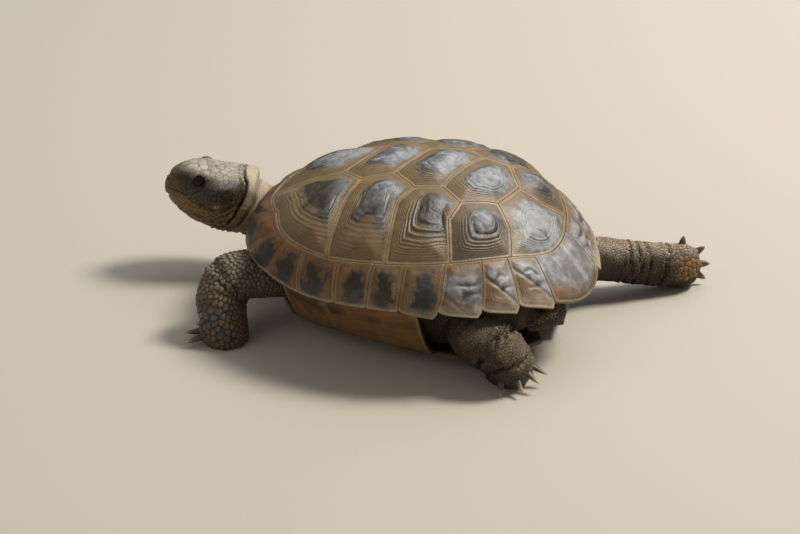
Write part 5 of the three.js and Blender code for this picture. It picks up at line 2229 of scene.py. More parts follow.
@dataclass
class Skin:
    """One closed skin over trunk, neck, head, tail and legs."""

    head: HeadForm
    voxel: float = 1.3
    floor: float = 0.12
    first_smoothings: int = 3
    later_smoothings: int = 2
    bare_shade: float = 0.3
    scaled_shade: float = 0.55
    nodes: tuple[str, ...] = ("trunk", "neck", "head", "tail", "foreleg_left", "foreleg_right",
                              "hindleg_left", "hindleg_right")

    def core(self) -> bpy.types.Mesh:
        """Join the limbs, the head, the toes and the trunk into one closed mesh.

        Returns:
            The joined mesh, cut flat at the soles.
        """
        work = bmesh.new()
        for form in (*LIMBS.values(), self.head):
            mesh = form.solid()
            work.from_mesh(mesh)
            bpy.data.meshes.remove(mesh)
        trunk = bmesh.new()
        trunk.from_mesh(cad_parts["trunk"].data)
        bmesh.ops.remove_doubles(trunk, verts=trunk.verts[:], dist=1e-6)
        copy = bpy.data.meshes.new("trunk_copy")
        trunk.to_mesh(copy)
        trunk.free()
        work.from_mesh(copy)
        bpy.data.meshes.remove(copy)
        for fan in FANS:
            for claw in fan.claws():
                self.toe(work, claw)
        floor = BENCH.to_frame(np.array([0.0, 0.0, self.floor]))
        bmesh.ops.bisect_plane(work, geom=work.verts[:] + work.edges[:] + work.faces[:], dist=1e-7,
                               plane_co=floor, plane_no=(0.0, 0.0, 1.0), clear_inner=True)
        bmesh.ops.holes_fill(work, edges=[e for e in work.edges if e.is_boundary])
        bmesh.ops.recalc_face_normals(work, faces=work.faces[:])
        mesh = bpy.data.meshes.new("core")
        work.to_mesh(mesh)
        work.free()
        return mesh

    @staticmethod
    def toe(work: bmesh.types.BMesh, claw: Claw) -> None:
        """Add the round end of a toe behind a claw.

        Args:
            work: The mesh to add to.
            claw: The claw.
        """
        upward = np.cross(claw.across, claw.ahead)
        turn = Matrix([list(claw.ahead), list(claw.across), list(upward)]).transposed().to_4x4()
        centre = Vector(BENCH.to_frame(claw.root - claw.ahead * TOE_BEHIND))
        breadth, height = claw.radius * TOE_WIDTH, claw.radius * TOE_HEIGHT
        size = Matrix.Diagonal((TOE_LENGTH * MM, breadth * MM, height * MM, 1.0))
        bmesh.ops.create_uvsphere(work, u_segments=20, v_segments=12, radius=1.0,
                                  matrix=Matrix.Translation(centre) @ turn @ size)

    def remeshed(self) -> bpy.types.Mesh:
        """Melt the joined forms into one even mesh.

        Returns:
            The even mesh.
        """
        source = link("skin_core", self.core())
        melt = source.modifiers.new("melt", "REMESH")
        melt.mode = "VOXEL"
        melt.voxel_size = self.voxel * MM
        ready = source.evaluated_get(bpy.context.evaluated_depsgraph_get())
        mesh = bpy.data.meshes.new_from_object(ready)
        core = source.data
        bpy.data.objects.remove(source)
        bpy.data.meshes.remove(core)
        return mesh

    def refined(self) -> bpy.types.Mesh:
        """Smooth the skin and split it finely over the head and round eyes and mouth.

        Returns:
            The finer mesh.
        """
        mesh = self.remeshed()
        work = bmesh.new()
        work.from_mesh(mesh)
        bpy.data.meshes.remove(mesh)
        for _ in range(self.first_smoothings):
            bmesh.ops.smooth_vert(work, verts=work.verts[:], factor=0.5, use_axis_x=True, use_axis_y=True,
                                  use_axis_z=True)
        for stage in range(3):
            points = BENCH.to_maker(np.array([v.co for v in work.verts]))
            wanted = self.fine_here(points, stage)
            work.verts.ensure_lookup_table()
            chosen = [e for e in work.edges if wanted[e.verts[0].index] and wanted[e.verts[1].index]]
            bmesh.ops.subdivide_edges(work, edges=chosen, cuts=1, use_grid_fill=True)
            work.verts.index_update()
            near = [v for v, live in zip(work.verts, self.fine_here(
                BENCH.to_maker(np.array([v.co for v in work.verts])), stage)) if live]
            for _ in range(self.later_smoothings):
                bmesh.ops.smooth_vert(work, verts=near, factor=0.5, use_axis_x=True, use_axis_y=True,
                                      use_axis_z=True)
        refined = bpy.data.meshes.new("skin")
        bmesh.ops.triangulate(work, faces=[f for f in work.faces if len(f.verts) > 4])
        work.to_mesh(refined)
        work.free()
        return refined

    @staticmethod
    def fine_here(points: Array, stage: int) -> Array:
        """Return which places are split once more at a stage.

        Args:
            points: Places in the maker's millimetres.
            stage: The stage, from 0: head and neck, eyes and mouth, edges of the lids.

        Returns:
            True at places to split.
        """
        local = np.stack(HeadForm.local(points), -1)
        at, _, height = local.T
        if stage == 0:
            return (at > -14.0) & (points[:, 0] < -96.0)
        eye = LIDS.nearest(local) < 2.0
        mouth = (np.abs(height - mouth_height(at)) < 1.6) & (at > 14.0)
        if stage == 1:
            return (at > 5.0) & (eye | mouth)
        off_lids = [np.abs(LIDS.ring(local, side)[0] - 1.05) for side in SIDES]
        return (at > 5.0) & (np.minimum(*off_lids) < 0.32)

    def build(self) -> tuple[bpy.types.Mesh, Survey, Array]:
        """Build the skin's mesh.

        Returns:
            The mesh, its survey, and its outward directions.
        """
        mesh = self.refined()
        points = BENCH.to_maker(vertices_of(mesh))
        normals = self.normals(mesh)
        here = survey(points)
        points = points + normals * (leg_folds(here) + neck_folds(here))[:, None]
        local = np.stack(HeadForm.local(points), -1)
        chosen = (local[:, 0] > -4.0) & (points[:, 0] < -100.0)
        local[chosen] = LIDS.wrap(head_features(local[chosen]))
        moved = HeadForm.world(*local.T)
        points = np.where(chosen[:, None], moved, points)
        points[:, 2] = np.maximum(points[:, 2], self.floor)
        place_vertices(mesh, BENCH.to_frame(points))
        here = survey(points)
        shade = np.where(here.within(Region.HEAD, Region.NECK), self.bare_shade, self.scaled_shade)
        tone = blend(SkinTones.at(here), SkinTones.GROOVE, shade)
        # The lids' dark edge, with painted shade in the crease round them.
        tone = blend(tone, SkinTones.GROOVE, 0.9 * self.lid_edge(here) * here.within(Region.HEAD))
        paint(mesh, TONE, tone)
        mesh.polygons.foreach_set("use_smooth", np.ones(len(mesh.polygons), bool))
        return mesh, here, self.normals(mesh)

    @staticmethod
    def lid_edge(here: Survey) -> Array:
        """Return where the dark edge of the lids is, and the painted shade in the crease round them.

        Args:
            here: The surveyed places.

        Returns:
            How dark each place is, from 0 to 1.
        """
        local = here.head()
        ring = LIDS.nearest(local)
        top = smooth_step(12.0, 12.7, local[:, 2])
        # Painted shade in the crease round the lids, left off where it reaches the crown.
        crease = 0.7 * bump(ring, 1.5, 0.1) * (1.0 - top)
        return np.maximum(smooth_fall(1.05, 1.25 - 0.1 * top, ring), crease)

    @staticmethod
    def normals(mesh: bpy.types.Mesh) -> Array:
        """Return the outward direction at each vertex.

        Args:
            mesh: The mesh to read.

        Returns:
            One direction for each vertex.
        """
        found = np.empty(len(mesh.vertices) * 3, np.float32)
        mesh.vertices.foreach_get("normal", found)
        return found.reshape(-1, 3).astype(float)


# ---------------------------------------------------------------- scales
class ScaleTemplate:
    """A scale as rings round a middle: how far out each vertex is, and in which direction."""

    def __init__(self, corners: int, rings: tuple[float, ...], heights: tuple[float, ...]) -> None:
        """Build the rings with that many corners.

        Args:
            corners: How many corners a scale has.
            rings: How far out each ring is, 1 at the edge.
            heights: Each ring's height, 1 near the top.
        """
        self.corners = corners
        self.rings, self.heights = np.array(rings), np.array(heights)
        rows = np.arange(len(rings))[:, None] * np.ones(corners + 1)
        columns = np.ones(len(rings))[:, None] * (np.arange(corners + 1) % corners)
        angle = columns * FULL_TURN / corners
        reach = self.rings[:, None]
        depth = self.heights[:, None] * np.ones(corners + 1)
        places = np.stack([reach * np.cos(angle), reach * np.sin(angle), depth], -1)
        mesh = laid_sheet("scale", places, {TONE: np.stack([rows, columns, rows], -1)})
        data = np.empty(len(mesh.vertices) * 4, np.float32)
        mesh.attributes[TONE].data.foreach_get("color", data)
        data = data.reshape(-1, 4)
        self.row = np.rint(data[:, 0]).astype(int)
        self.column = np.rint(data[:, 1]).astype(int)
        self.faces = [list(face.vertices) for face in mesh.polygons]
        bpy.data.meshes.remove(mesh)


BOSS = ((0.0, 1.0, 0.97, 0.8, 0.45, 0.0), (-0.4, -0.35, 0.25, 0.8, 1.0, 1.04))
GRAIN = ((0.0, 1.0, 0.8, 0.0), (-0.4, -0.35, 0.75, 1.04))


@dataclass
class ScaleCoat:
    """Scales over the skin: each is a low boss whose outline meets its neighbours'."""

    here: Survey
    normals: Array
    mesh: bpy.types.Mesh
    seed: int = 7
    crowd: float = 11.0
    neighbours: int = 14
    spacing: float = 0.84
    longest: float = 0.72
    evenings: int = 3
    ground: float = 0.02
    least: float = 0.12
    rise_limits: tuple[float, float] = (0.04, 0.85)
    patch: float = 0.003
    chart: float = 300.0
    chart_width: float = 100.0
    chart_length: float = 98.0

    def sizes(self, here: Survey) -> Array:
        """Return the width of the scales at surveyed places, in millimetres; 0 where there are none.

        Args:
            here: The surveyed places.

        Returns:
            One width for each place.
        """
        size = np.zeros(len(here.points))
        up = np.sin(here.angle)
        blotch = Grain.layered(here.points, 8.0, 131)
        shield = bump(here.points[:, 2], 14.0, 9.0) * smooth_step(-0.1, 0.7, up)
        shield = shield * smooth_step(46.0, 58.0, here.along)
        fore = 1.9 + 0.5 * smooth_step(-0.4, 0.5, up)
        fore = fore + 2.6 * shield * smooth_step(-0.5, 0.3, blotch) + 0.3 * blotch
        size = np.where(here.within(*FORELEGS), fore, size)
        hind = 1.3 + 0.5 * smooth_step(52.0, 62.0, here.along) + 0.2 * blotch
        size = np.where(here.within(Region.HINDLEG_LEFT), hind, size)
        back = 1.48 + 0.2 * blotch + 0.5 * smooth_step(80.0, 90.0, here.along) + 1.3 * self.pads(here)
        size = np.where(here.within(Region.HINDLEG_RIGHT), back, size)
        size = np.where(here.within(Region.TAIL), 1.6, size)
        size = np.where(here.within(Region.NECK), 1.0 + 0.12 * blotch, size)
        local = here.head()
        at, _, height = local.T
        above = height - brow_height(at)
        crown = smooth_step(-0.5, 1.5, above) * smooth_step(2.0, 10.0, at)
        face = 2.1 + 1.2 * crown + 1.3 * crown * smooth_step(12.0, 22.0, at) + 0.6 * blotch
        size = np.where(here.within(Region.HEAD), face, size)
        ring = LIDS.nearest(local)
        size = np.where(here.within(Region.HEAD) & (ring < 2.1), 0.95, size)
        bare = here.within(Region.HEAD) & ((ring < 1.27) | self.horny(local))
        bare |= here.within(Region.HEAD) & (np.abs(height - mouth_height(at)) < 0.5) & (at > 16.0)
        inside = under_shell(here.points) < HIDDEN_UNDER
        hidden = here.within(Region.TRUNK) | (inside & (here.points[:, 2] > 8.0))
        under = here.points[:, 2] < 0.5
        return np.where(bare | hidden | under, 0.0, size)

    @staticmethod
    def pads(here: Survey) -> Array:
        """Return where the pads under the stretched foot are.

        Args:
            here: The surveyed places.

        Returns:
            A share from 0 to 1 for each place.
        """
        turned = np.mod(np.degrees(here.angle) - 170.0 + 180.0, 360.0) - 180.0
        pads = smooth_step(88.0, 94.0, here.along) * smooth_fall(26.0, 40.0, np.abs(turned))
        return pads * here.within(Region.HINDLEG_RIGHT)

    @staticmethod
    def horny(local: Array) -> Array:
        """Return which places of the head the beak covers.

        Args:
            local: Places in the head's frame.

        Returns:
            True under the beak.
        """
        at, _, height = local.T
        line = height - mouth_height(at)
        upper = (line > -0.3) & (line < 3.5 - 0.2 * (43.0 - at)) & (at > 30.0)
        lower = (line < 0.3) & (line > -3.6 + 0.24 * (43.0 - at)) & (at > 30.0)
        return upper | lower

    @staticmethod
    def style(here: Survey) -> dict[str, Array]:
        """Return how high for their width, how tilted and how far parted the scales are.

        Args:
            here: The surveyed places.

        Returns:
            Rise, tilt and groove by name, for each place.
        """
        fore, head = here.within(*FORELEGS), here.within(Region.HEAD)
        neck, left = here.within(Region.NECK), here.within(Region.HINDLEG_LEFT)
        rise = np.where(fore, 0.15, np.where(head, 0.024, np.where(neck, 0.04, np.where(left, 0.07, 0.13))))
        tilt = np.where(fore, 0.85, np.where(head | neck, 0.05, 0.6))
        groove = np.where(fore, 0.08, np.where(head, 0.02, np.where(neck, 0.03, 0.05)))
        return {"rise": rise, "tilt": tilt, "groove": groove}

    def candidates(self, random: np.random.Generator) -> tuple[Survey, Array, Array]:
        """Strew places over the skin, closer where the scales are smaller.

        Args:
            random: The source of chance.

        Returns:
            The survey of the places, their outward directions and their widths.
        """
        self.mesh.calc_loop_triangles()
        corners = np.empty(len(self.mesh.loop_triangles) * 3, np.int32)
        self.mesh.loop_triangles.foreach_get("vertices", corners)
        corners = corners.reshape(-1, 3)
        size = self.sizes(self.here)
        a, b, c = (self.here.points[corners[:, k]] for k in range(3))
        area = np.linalg.norm(np.cross(b - a, c - a), axis=1) / 2.0
        width = size[corners].min(axis=1)
        weight = np.where(width > 0.0, area / np.maximum(width, 0.5) ** 2, 0.0)
        count = int(weight.sum() * 1.15 * self.crowd)
        chosen = random.choice(len(corners), count, p=weight / weight.sum())
        share = random.random((count, 2))
        fold = share.sum(axis=1) > 1.0
        share[fold] = 1.0 - share[fold]
        weights = np.stack([1.0 - share.sum(axis=1), share[:, 0], share[:, 1]], -1)[..., None]
        spots = (self.here.points[corners[chosen]] * weights).sum(axis=1)
        normal = unit((self.normals[corners[chosen]] * weights).sum(axis=1))
        return survey(spots), normal, (size[corners[chosen]] * weights[..., 0]).sum(axis=1)

    @staticmethod
    def tree(points: Array) -> KDTree:
        """Return a search tree over places.

        Args:
            points: The places.

        Returns:
            The tree, ready to search.
        """
        found = KDTree(len(points))
        for i, point in enumerate(points):
            found.insert(point, i)
        found.balance()
        return found

    def seeds(self) -> tuple[Survey, Array, Array]:
        """Return the scales' middles, spread evenly.

        Returns:
            Their survey, their outward directions and their widths.
        """
        random = np.random.default_rng(self.seed)
        spots, normal, size = self.candidates(random)
        tree = self.tree(spots.points)
        free = np.ones(len(spots.points), bool)
        kept = []
        for i in range(len(spots.points)):
            if not free[i]:
                continue
            kept.append(i)
            for _, j, _ in tree.find_range(spots.points[i], size[i] * self.spacing):
                free[j] = False
        places = spots.points[kept]
        for _ in range(self.evenings):
            near = self.tree(places)
            owner = np.array([near.find(point)[1] for point in spots.points])
            total = np.zeros_like(places)
            np.add.at(total, owner, spots.points)
            count = np.bincount(owner, minlength=len(places))
            places = np.where(count[:, None] > 0, total / np.maximum(count, 1)[:, None], places)
        kept = np.array([tree.find(point)[1] for point in places])
        kept = np.unique(kept)
        return spots.pick(kept), normal[kept], size[kept]

    def outline(self, places: Array, first: Array, second: Array, size: Array,
                corners: int) -> Array:
        """Return how far each scale reaches in each direction, halfway to its neighbours.

        Args:
            places: The scales' middles.
            first: The direction towards the tip of the limb.
            second: The direction across it.
            size: The scales' widths.
            corners: How many directions.

        Returns:
            The reach of each scale in each direction.
        """
        near = self.tree(places)
        order = np.array([[j for _, j, _ in near.find_n(point, self.neighbours)] for point in places])
        away = places[order[:, 1:]] - places[:, None]
        x, y = dot(away, first[:, None]), dot(away, second[:, None])
        square = dot(away, away)
        angle = np.arange(corners) * FULL_TURN / corners
        facing = x[..., None] * np.cos(angle) + y[..., None] * np.sin(angle)
        halfway = square[..., None] / 2.0 / np.maximum(facing, 1e-3)
        reach = np.where(facing > 1e-3, halfway, np.inf).min(axis=1)
        reach = np.minimum(reach, size[:, None] * self.longest)
        mean = reach.mean(axis=1, keepdims=True)
        return np.minimum(reach, 0.55 * reach + 0.48 * mean)

    def build(self, finishes: dict[str, bpy.types.Material]) -> list[bpy.types.Object]:
        """Build the coat as pieces, each with the finish of its name.

        Args:
            finishes: The finish of each piece, by name.

        Returns:
            The pieces, in order.
        """
        spots, normal, size = self.seeds()
        LOG.info("strewn %d scales", len(size))
        skin = BVHTree.FromPolygons([Vector(p) for p in self.here.points],
                                    [list(f.vertices) for f in self.mesh.polygons])
        made = []
        group = self.groups(spots)
        for index, (name, finish) in enumerate(finishes.items()):
            chosen = np.flatnonzero(group == index)
            made.append(self.piece(f"scales_{name}", spots, normal, size, chosen, skin, finish))
        return made

    @staticmethod
    def groups(spots: Survey) -> Array:
        """Return which piece each scale belongs to.

        Args:
            spots: The scales' survey.

        Returns:
            The number of each scale's piece.
        """
        group = np.full(len(spots.points), 6)
        legs = (*FORELEGS, Region.HINDLEG_LEFT, Region.HINDLEG_RIGHT)
        for index, region in enumerate((Region.HEAD, Region.NECK, *legs)):
            group[spots.within(region)] = index
        return group

    def piece(self, name: str, spots: Survey, normal: Array, size: Array, chosen: Array,
              skin: BVHTree, finish: bpy.types.Material) -> bpy.types.Object:
        """Build the scales of one piece as one joined mesh.

        Args:
            name: The piece's name.
            spots: The scales' survey.
            normal: Their outward directions.
            size: Their widths.
            chosen: Which of them belong to the piece.
            skin: The skin under them.
            finish: The piece's finish.

        Returns:
            The piece.
        """
        template = {"scales_neck": ScaleTemplate(6, *GRAIN), "scales_head": ScaleTemplate(12, *BOSS)}.get(
            name, ScaleTemplate(8, *BOSS))
        first = unit(spots.distal - normal * dot(spots.distal, normal)[:, None])
        second = np.cross(normal, first)
        reach = self.outline(spots.points, first, second, size, template.corners)[chosen]
        here, up, width = spots.pick(chosen), normal[chosen], size[chosen]
        first, second = first[chosen], second[chosen]
        style = self.style(here)
        reach = np.maximum(reach - style["groove"][:, None], self.least)
        angle = np.arange(template.corners) * FULL_TURN / template.corners
        way = first[:, None] * np.cos(angle)[:, None] + second[:, None] * np.sin(angle)[:, None]
        rims = here.points[:, None] + way * reach[..., None]
        sag = np.zeros(reach.shape)
        for i in range(len(rims)):
            for k in range(template.corners):
                spot = skin.find_nearest(rims[i, k])[0]
                sag[i, k] = float(np.dot(np.array(spot) - here.points[i], up[i]))
        sag = np.clip(sag, -0.45 * reach - 0.2, 0.3 * reach)
        ring, level = template.rings[template.row], template.heights[template.row]
        out = (reach[:, template.column] * ring)[..., None]
        places = here.points[:, None] + way[:, template.column] * out
        rise = np.clip(style["rise"] * width, *self.rise_limits)
        lift = np.where(level > 0.0, level * rise[:, None], level)
        lean = np.cos(angle)[template.column] * ring * (level > 0.0)
        lift = lift * (1.0 + style["tilt"][:, None] * lean) + sag[:, template.column] * ring ** 2
        places = places + up[:, None] * lift[..., None]
        places[..., 2] = np.maximum(places[..., 2], self.ground)
        tone = self.tones(here, width, level, lean)
        mesh = self.joined(name, template, places, tone, here)
        return link(name, mesh, finish)

    def tones(self, here: Survey, width: Array, level: Array, lean: Array) -> Array:
        """Return the colour at each vertex, with painted shade at the root and a painted highlight towards
        the tip.

        Args:
            here: The scales' survey.
            width: Their widths.
            level: How high each vertex is, 1 near the top.
            lean: How far each vertex is towards the tip, from -1 to 1.

        Returns:
            One colour for each vertex of each scale.
        """
        random = np.random.default_rng(self.seed + 1)
        base = SkinTones.at(here)
        soft = here.within(Region.HEAD, Region.NECK)
        spread = np.where(soft, 0.06, 0.14)
        base = base * np.clip(1.0 + spread * random.normal(0.0, 1.0, len(base)), 0.6, 1.5)[:, None]
        large = smooth_step(2.9, 4.0, width) * here.within(*FORELEGS) * (random.random(len(base)) < 0.75)
        base = blend(base, SkinTones.SLATE, 0.7 * large)
        colour = np.repeat(base[:, None], len(level), axis=1)
        # Painted shade at each scale's root, in the groove between scales.
        depth = np.where(soft, 0.18, np.where(here.within(*FORELEGS), 0.62, 0.4))[:, None]
        colour = blend(colour, SkinTones.GROOVE, depth * np.clip((0.55 - level) / 0.8, 0.0, 1.0)[None])
        # Painted highlight towards each scale's tip.
        tip_highlight = np.where(soft, 0.04, np.where(here.within(*FORELEGS), 0.3, 0.14))[:, None]
        tips = smooth_step(-0.2, 0.9, lean) * (level > 0.5)
        return blend(colour, colour * 1.5 + 0.015, tip_highlight * tips[None])

    def joined(self, name: str, template: ScaleTemplate, places: Array, tone: Array,
               here: Survey) -> bpy.types.Mesh:
        """Join copies of the template into one mesh with its colours and its bake map.

        Args:
            name: The piece's name.
            template: The scale to copy.
            places: Each scale's vertices.
            tone: Their colours.
            here: The scales' survey.

        Returns:
            The joined mesh.
        """
        count, per = places.shape[:2]
        mesh = bpy.data.meshes.new(name)
        sides = np.array([len(face) for face in template.faces])
        corners = np.concatenate([np.array(face) for face in template.faces])
        index = (corners[None] + np.arange(count)[:, None] * per).ravel()
        starts = np.concatenate([[0], np.cumsum(np.tile(sides, count))[:-1]])
        mesh.vertices.add(count * per)
        mesh.loops.add(len(index))
        mesh.polygons.add(len(sides) * count)
        mesh.vertices.foreach_set("co", BENCH.to_frame(places.reshape(-1, 3)).astype(np.float32).ravel())
        mesh.loops.foreach_set("vertex_index", index.astype(np.int32))
        mesh.polygons.foreach_set("loop_start", starts.astype(np.int32))
        mesh.polygons.foreach_set("use_smooth", np.ones(len(sides) * count, bool))
        mesh.update(calc_edges=True)
        paint(mesh, TONE, tone.reshape(-1, 3))
        ring = template.rings[template.row]
        angle = template.column * FULL_TURN / template.corners
        local = np.stack([ring * np.cos(angle), ring * np.sin(angle)], -1) * self.patch / 2.0
        spread = (self.charted(here)[:, None] + local[None]).reshape(-1, 2)
        chart = mesh.uv_layers.new(name=BAKE_MAP)
        chart.data.foreach_set("uv", spread[index].astype(np.float32).ravel())
        mesh.validate()
        return mesh

    def charted(self, here: Survey) -> Array:
        """Return each place on the unwrap: limbs and head side by side, cut along their undersides.

        Args:
            here: The surveyed places.

        Returns:
            One place from 0 to 1 each way.
        """
        girth = np.where(here.within(Region.HEAD, Region.NECK), 16.0, 14.0)
        turn = np.mod(here.angle + math.pi / 2.0, FULL_TURN)
        across = turn * girth * 0.98
        column = here.region % 3
        row = here.region // 3
        up = row * self.chart_length + np.clip(here.along, -4.0, 92.0) + 4.0
        return np.stack([column * self.chart_width + across, up], -1) / self.chart


# ---------------------------------------------------------------- beak and eyes
@dataclass
class Beak:
    """The horn over the jaws: an upper and a lower sheath."""

    PALE = linear("5c4a30")
    DARK = linear("33281b")
    form: HeadForm
    columns: int = 96
    rows: int = 16
    heart: float = 22.0
    sunk: float = 0.14
    tip: float = 43.2
    run: float = 13.0
    hook: float = 1.1
    upper_height: float = 3.8
    lower_height: float = 4.0

    def sheath(self, name: str, low: Array, high: Array, back: float, proud: float,
               lip: float) -> bpy.types.Mesh:
        """Build one sheath between two lines round the front of the head.

        Args:
            name: The mesh's name.
            low: The lower line's height at each column.
            high: The upper line's height at each column.
            back: How far ahead its rear ends are.
            proud: How far it stands out of the skin.
            lip: How much further its biting edge stands out; negative if that edge is the upper line.

        Returns:
            The closed mesh.
        """
        w = np.linspace(-1.0, 1.0, self.columns + 1)
        ends = smooth_fall(0.86, 1.0, np.abs(w))
        share = np.linspace(0.0, 1.0, self.rows)[:, None]
        height = low + (high - low) * share
        flat = self.form.skin_at(height, np.broadcast_to(w, height.shape), np.full(height.shape, back))
        middle = self.form.world(np.full(height.shape, self.heart), np.zeros_like(height), height * 0.6)
        out = unit(flat - middle)
        edge = np.minimum(smooth_step(0.0, 0.22, share), smooth_fall(0.78, 1.0, share))
        bite = smooth_fall(0.0, 0.3, share) if lip > 0.0 else smooth_step(0.7, 1.0, share)
        outer = flat + out * ((proud * edge + abs(lip) * bite) * ends - self.sunk)[..., None]
        inner = flat - out * (0.9 * ends + 0.25)[..., None]
        loop = np.concatenate([outer, inner[::-1], outer[:1]])
        loop[:, 0] = loop[:, 0].mean(axis=0)
        loop[:, -1] = loop[:, -1].mean(axis=0)
        noise = Grain.layered(loop * np.array([1.0, 1.0, 0.4]), 1.6, 141)
        tone = blend(np.broadcast_to(self.PALE, loop.shape), self.DARK, 0.5 + 0.5 * noise)
        return laid_sheet(name, BENCH.to_frame(loop), {TONE: tone})

    def build(self, finish: bpy.types.Material) -> list[bpy.types.Object]:
        """Build both sheaths.

        Args:
            finish: The sheaths' finish.

        Returns:
            The two pieces.
        """
        w = np.abs(np.linspace(-1.0, 1.0, self.columns + 1))
        at = self.tip - self.run * w ** 2
        line = mouth_height(at)
        hook = self.hook * bump(w, 0.0, 0.22)
        top = line + self.upper_height - 2.4 * smooth_step(0.25, 1.0, w)
        upper = self.sheath("beak_upper", line - hook + 0.1, top, 29.5, 0.05, 0.05)
        bottom = line - self.lower_height + 2.6 * smooth_step(0.2, 1.0, w)
        lower = self.sheath("beak_lower", bottom, line - 0.35 - 0.5 * hook, 30.0, 0.04, -0.03)
        return [link("beak_upper", upper, finish), link("beak_lower", lower, finish)]


@dataclass(frozen=True)
class Eyes:
    """The eyeballs: a dark iris and a black pupil under a clear front."""

    PUPIL = linear("040303")
    IRIS = linear("170e07")
    rings: int = 28
    columns: int = 48
    pupil_edge: tuple[float, float] = (0.26, 0.32)
    iris_edge: tuple[float, float] = (0.62, 0.72)

    def finish(self) -> bpy.types.Material:
        """Build the wet, nearly black finish.

        Returns:
            The node material.
        """
        nodes = Nodes("wet eye")
        coordinates = nodes.add("ShaderNodeTexCoord").outputs["Object"]
        tone = nodes.add("ShaderNodeAttribute", attribute_name=TONE).outputs["Color"]
        streaks = nodes.noise(1800.0, 2.0, coordinates)
        nodes.join(nodes.shade(tone, nodes.spread(streaks, 0.7, 1.3)), nodes.shader.inputs["Base Color"])
        nodes.shader.inputs["Roughness"].default_value = 0.1
        nodes.shader.inputs["Specular IOR Level"].default_value = 0.25
        nodes.shader.inputs["Coat Weight"].default_value = 0.2
        nodes.shader.inputs["Coat Roughness"].default_value = 0.03
        return nodes.material

    def build(self, side: float, name: str, finish: bpy.types.Material) -> bpy.types.Object:
        """Build one eyeball, with its front bulging a little.

        Args:
            side: 1 on the left, -1 on the right.
            name: The piece's name.
            finish: The eye's finish.

        Returns:
            The piece.
        """
        out, ahead, up = LIDS.axes(side)
        polar_angle = np.linspace(0.0, math.pi, self.rings + 1)[:, None]
        turn = np.arange(self.columns + 1)[None] * FULL_TURN / self.columns
        radius = EYE_RADIUS * (0.985 + 0.035 * bump(polar_angle, 0.0, 0.45))
        local = (np.cos(polar_angle) * radius)[..., None] * out + (
            np.sin(polar_angle) * np.cos(turn) * radius)[..., None] * ahead + (
            np.sin(polar_angle) * np.sin(turn) * radius)[..., None] * up
        centre = HeadForm.world(np.array(EYE_AT), np.array(EYE_ACROSS * side), np.array(EYE_HEIGHT))
        away = local[..., :1] * HEAD_AHEAD + local[..., 1:2] * HEAD_ACROSS + local[..., 2:] * UPRIGHT
        wide = np.broadcast_to(polar_angle, away.shape[:-1])
        iris = smooth_step(*self.pupil_edge, wide) * smooth_fall(*self.iris_edge, wide)
        tone = blend(np.broadcast_to(self.PUPIL, away.shape), self.IRIS, iris)
        return link(name, laid_sheet(name, BENCH.to_frame(centre + away), {TONE: tone}), finish)


# ---------------------------------------------------------------- studio
@dataclass(frozen=True)
class Lamp:
    """A square soft light that points at the shell."""

    name: str
    place: tuple[float, float, float]
    size: float
    power: float
    colour: tuple[float, float, float]
    glossy: bool = True
    target: tuple[float, float, float] = (0.0, 0.0, 0.05)

    def hang(self) -> None:
        """Hang the light in the scene."""
        lamp = bpy.data.lights.new(self.name, "AREA")
        lamp.size = self.size
        lamp.energy = self.power
        lamp.color = self.colour
        shown = bpy.data.objects.new(self.name, lamp)
        bpy.context.scene.collection.objects.link(shown)
        shown.location = self.place
        shown.visible_glossy = self.glossy
        aim = Vector(self.target) - Vector(self.place)
        shown.rotation_euler = aim.to_track_quat("-Z", "Y").to_euler()


WARM, COOL = (1.0, 0.94, 0.85), (0.86, 0.93, 1.0)
LAMPS = (
    Lamp("key", (0.95, 1.05, 1.9), 0.6, 60.0, WARM),
    Lamp("sky", (0.0, 1.0, 1.25), 1.3, 9.0, COOL),
    Lamp("fill", (-0.9, -1.5, 1.0), 1.6, 6.0, WARM, glossy=False),
)


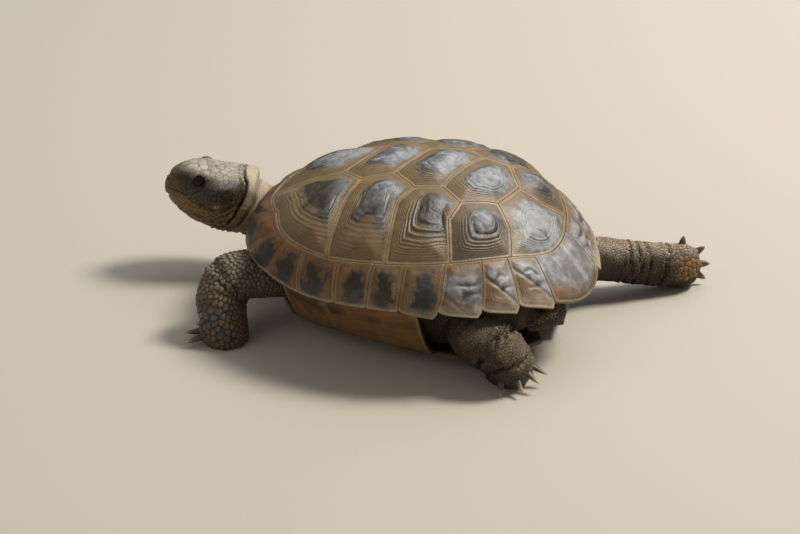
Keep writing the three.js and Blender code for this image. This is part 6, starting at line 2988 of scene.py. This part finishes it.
@dataclass(frozen=True)
class Studio:
    """A pale floor, soft light from behind on the right, and the camera."""

    place: tuple[float, float, float] = (548.7, -927.8, 554.9)
    azimuth: float = 31.35
    elevation: float = 26.07
    lens: float = 100.0
    floor_size: float = 12.0
    floor_colour: tuple[float, ...] = (0.5, 0.455, 0.395, 1.0)
    floor_roughness: float = 0.9
    air: tuple[float, ...] = (0.9, 0.86, 0.8, 1.0)
    air_strength: float = 0.26

    def floor(self) -> None:
        """Lay the floor."""
        work = bmesh.new()
        bmesh.ops.create_grid(work, x_segments=1, y_segments=1, size=self.floor_size / 2.0)
        mesh = bpy.data.meshes.new("floor")
        work.to_mesh(mesh)
        work.free()
        nodes = Nodes("floor")
        nodes.shader.inputs["Base Color"].default_value = self.floor_colour
        nodes.shader.inputs["Roughness"].default_value = self.floor_roughness
        link("floor", mesh, nodes.material)

    def camera(self) -> None:
        """Set the camera at the animal's left, behind its middle and above."""
        turn, rise = math.radians(self.azimuth), math.radians(self.elevation)
        back = Vector((math.sin(turn) * math.cos(rise), -math.cos(turn) * math.cos(rise), math.sin(rise)))
        right = Vector((math.cos(turn), math.sin(turn), 0.0))
        up = back.cross(right)
        lens = bpy.data.cameras.new("camera")
        lens.lens = self.lens
        lens.sensor_width = 36.0
        lens.clip_start = 0.05
        shown = bpy.data.objects.new("camera", lens)
        bpy.context.scene.collection.objects.link(shown)
        place = Vector(BENCH.to_frame(np.array(self.place)))
        shown.matrix_world = Matrix.Translation(place) @ Matrix((right, up, back)).transposed().to_4x4()
        bpy.context.scene.camera = shown

    def build(self) -> None:
        """Build the floor, the lights, the surroundings and the camera."""
        self.floor()
        for lamp in LAMPS:
            lamp.hang()
        world = bpy.data.worlds.new("studio")
        world.use_nodes = True
        background = world.node_tree.nodes["Background"]
        background.inputs["Color"].default_value = self.air
        background.inputs["Strength"].default_value = self.air_strength
        bpy.context.scene.world = world
        bpy.context.scene.view_settings.view_transform = "Standard"
        self.camera()


def dress(piece: bpy.types.Object, slot: str, *nodes: str) -> None:
    """Fix a piece to the body, hide the solids that it stands for, and log its face count.

    Args:
        piece: The piece.
        slot: Its finish's slot; not used.
        *nodes: The solids that it stands for.
    """
    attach(piece, BODY)
    if nodes:
        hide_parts(*nodes)
    LOG.info("made %s with %d faces", piece.name, len(piece.data.polygons))


def main() -> None:
    """Build the tortoise and its studio in order."""
    logging.basicConfig(level=logging.INFO, format="%(message)s")
    horn = SCUTE_HORN.make()
    belly = BELLY_HORN.make()
    carapace = Carapace()
    for plate in carapace.plates():
        dress(link(f"{plate.name}_horn", plate.build(), horn), "scute_horn", plate.name)
    for plate in Plastron(BellyForm(carapace.form)).plates():
        dress(link(f"{plate.name}_horn", plate.build(), belly), "belly_horn", plate.name)
    head = HeadForm()
    skin, here, normals = Skin(head).build()
    dress(link("skin", skin, SKIN_FINISH.make()), "skin", *Skin(head).nodes)
    scale_finish = SCALE_FINISH.make()
    finishes = {"head": HEAD_FINISH.make()}
    for name in ("neck", "foreleg_left", "foreleg_right", "hindleg_left", "hindleg_right", "tail"):
        finishes[name] = scale_finish
    for scales in ScaleCoat(here, normals, skin).build(finishes):
        dress(scales, "skin")
    claw_finish = CLAW_FINISH.make()
    for fan in FANS:
        dress(fan.build(claw_finish), "skin")
    for sheath in Beak(head).build(BEAK_FINISH.make()):
        dress(sheath, "head_skin")
    wet = Eyes().finish()
    for side, name in zip(SIDES, ("eye_left", "eye_right")):
        dress(Eyes().build(side, f"{name}_ball", wet), "eye", name)
    Studio().build()


if __name__ == "__main__":
    main()
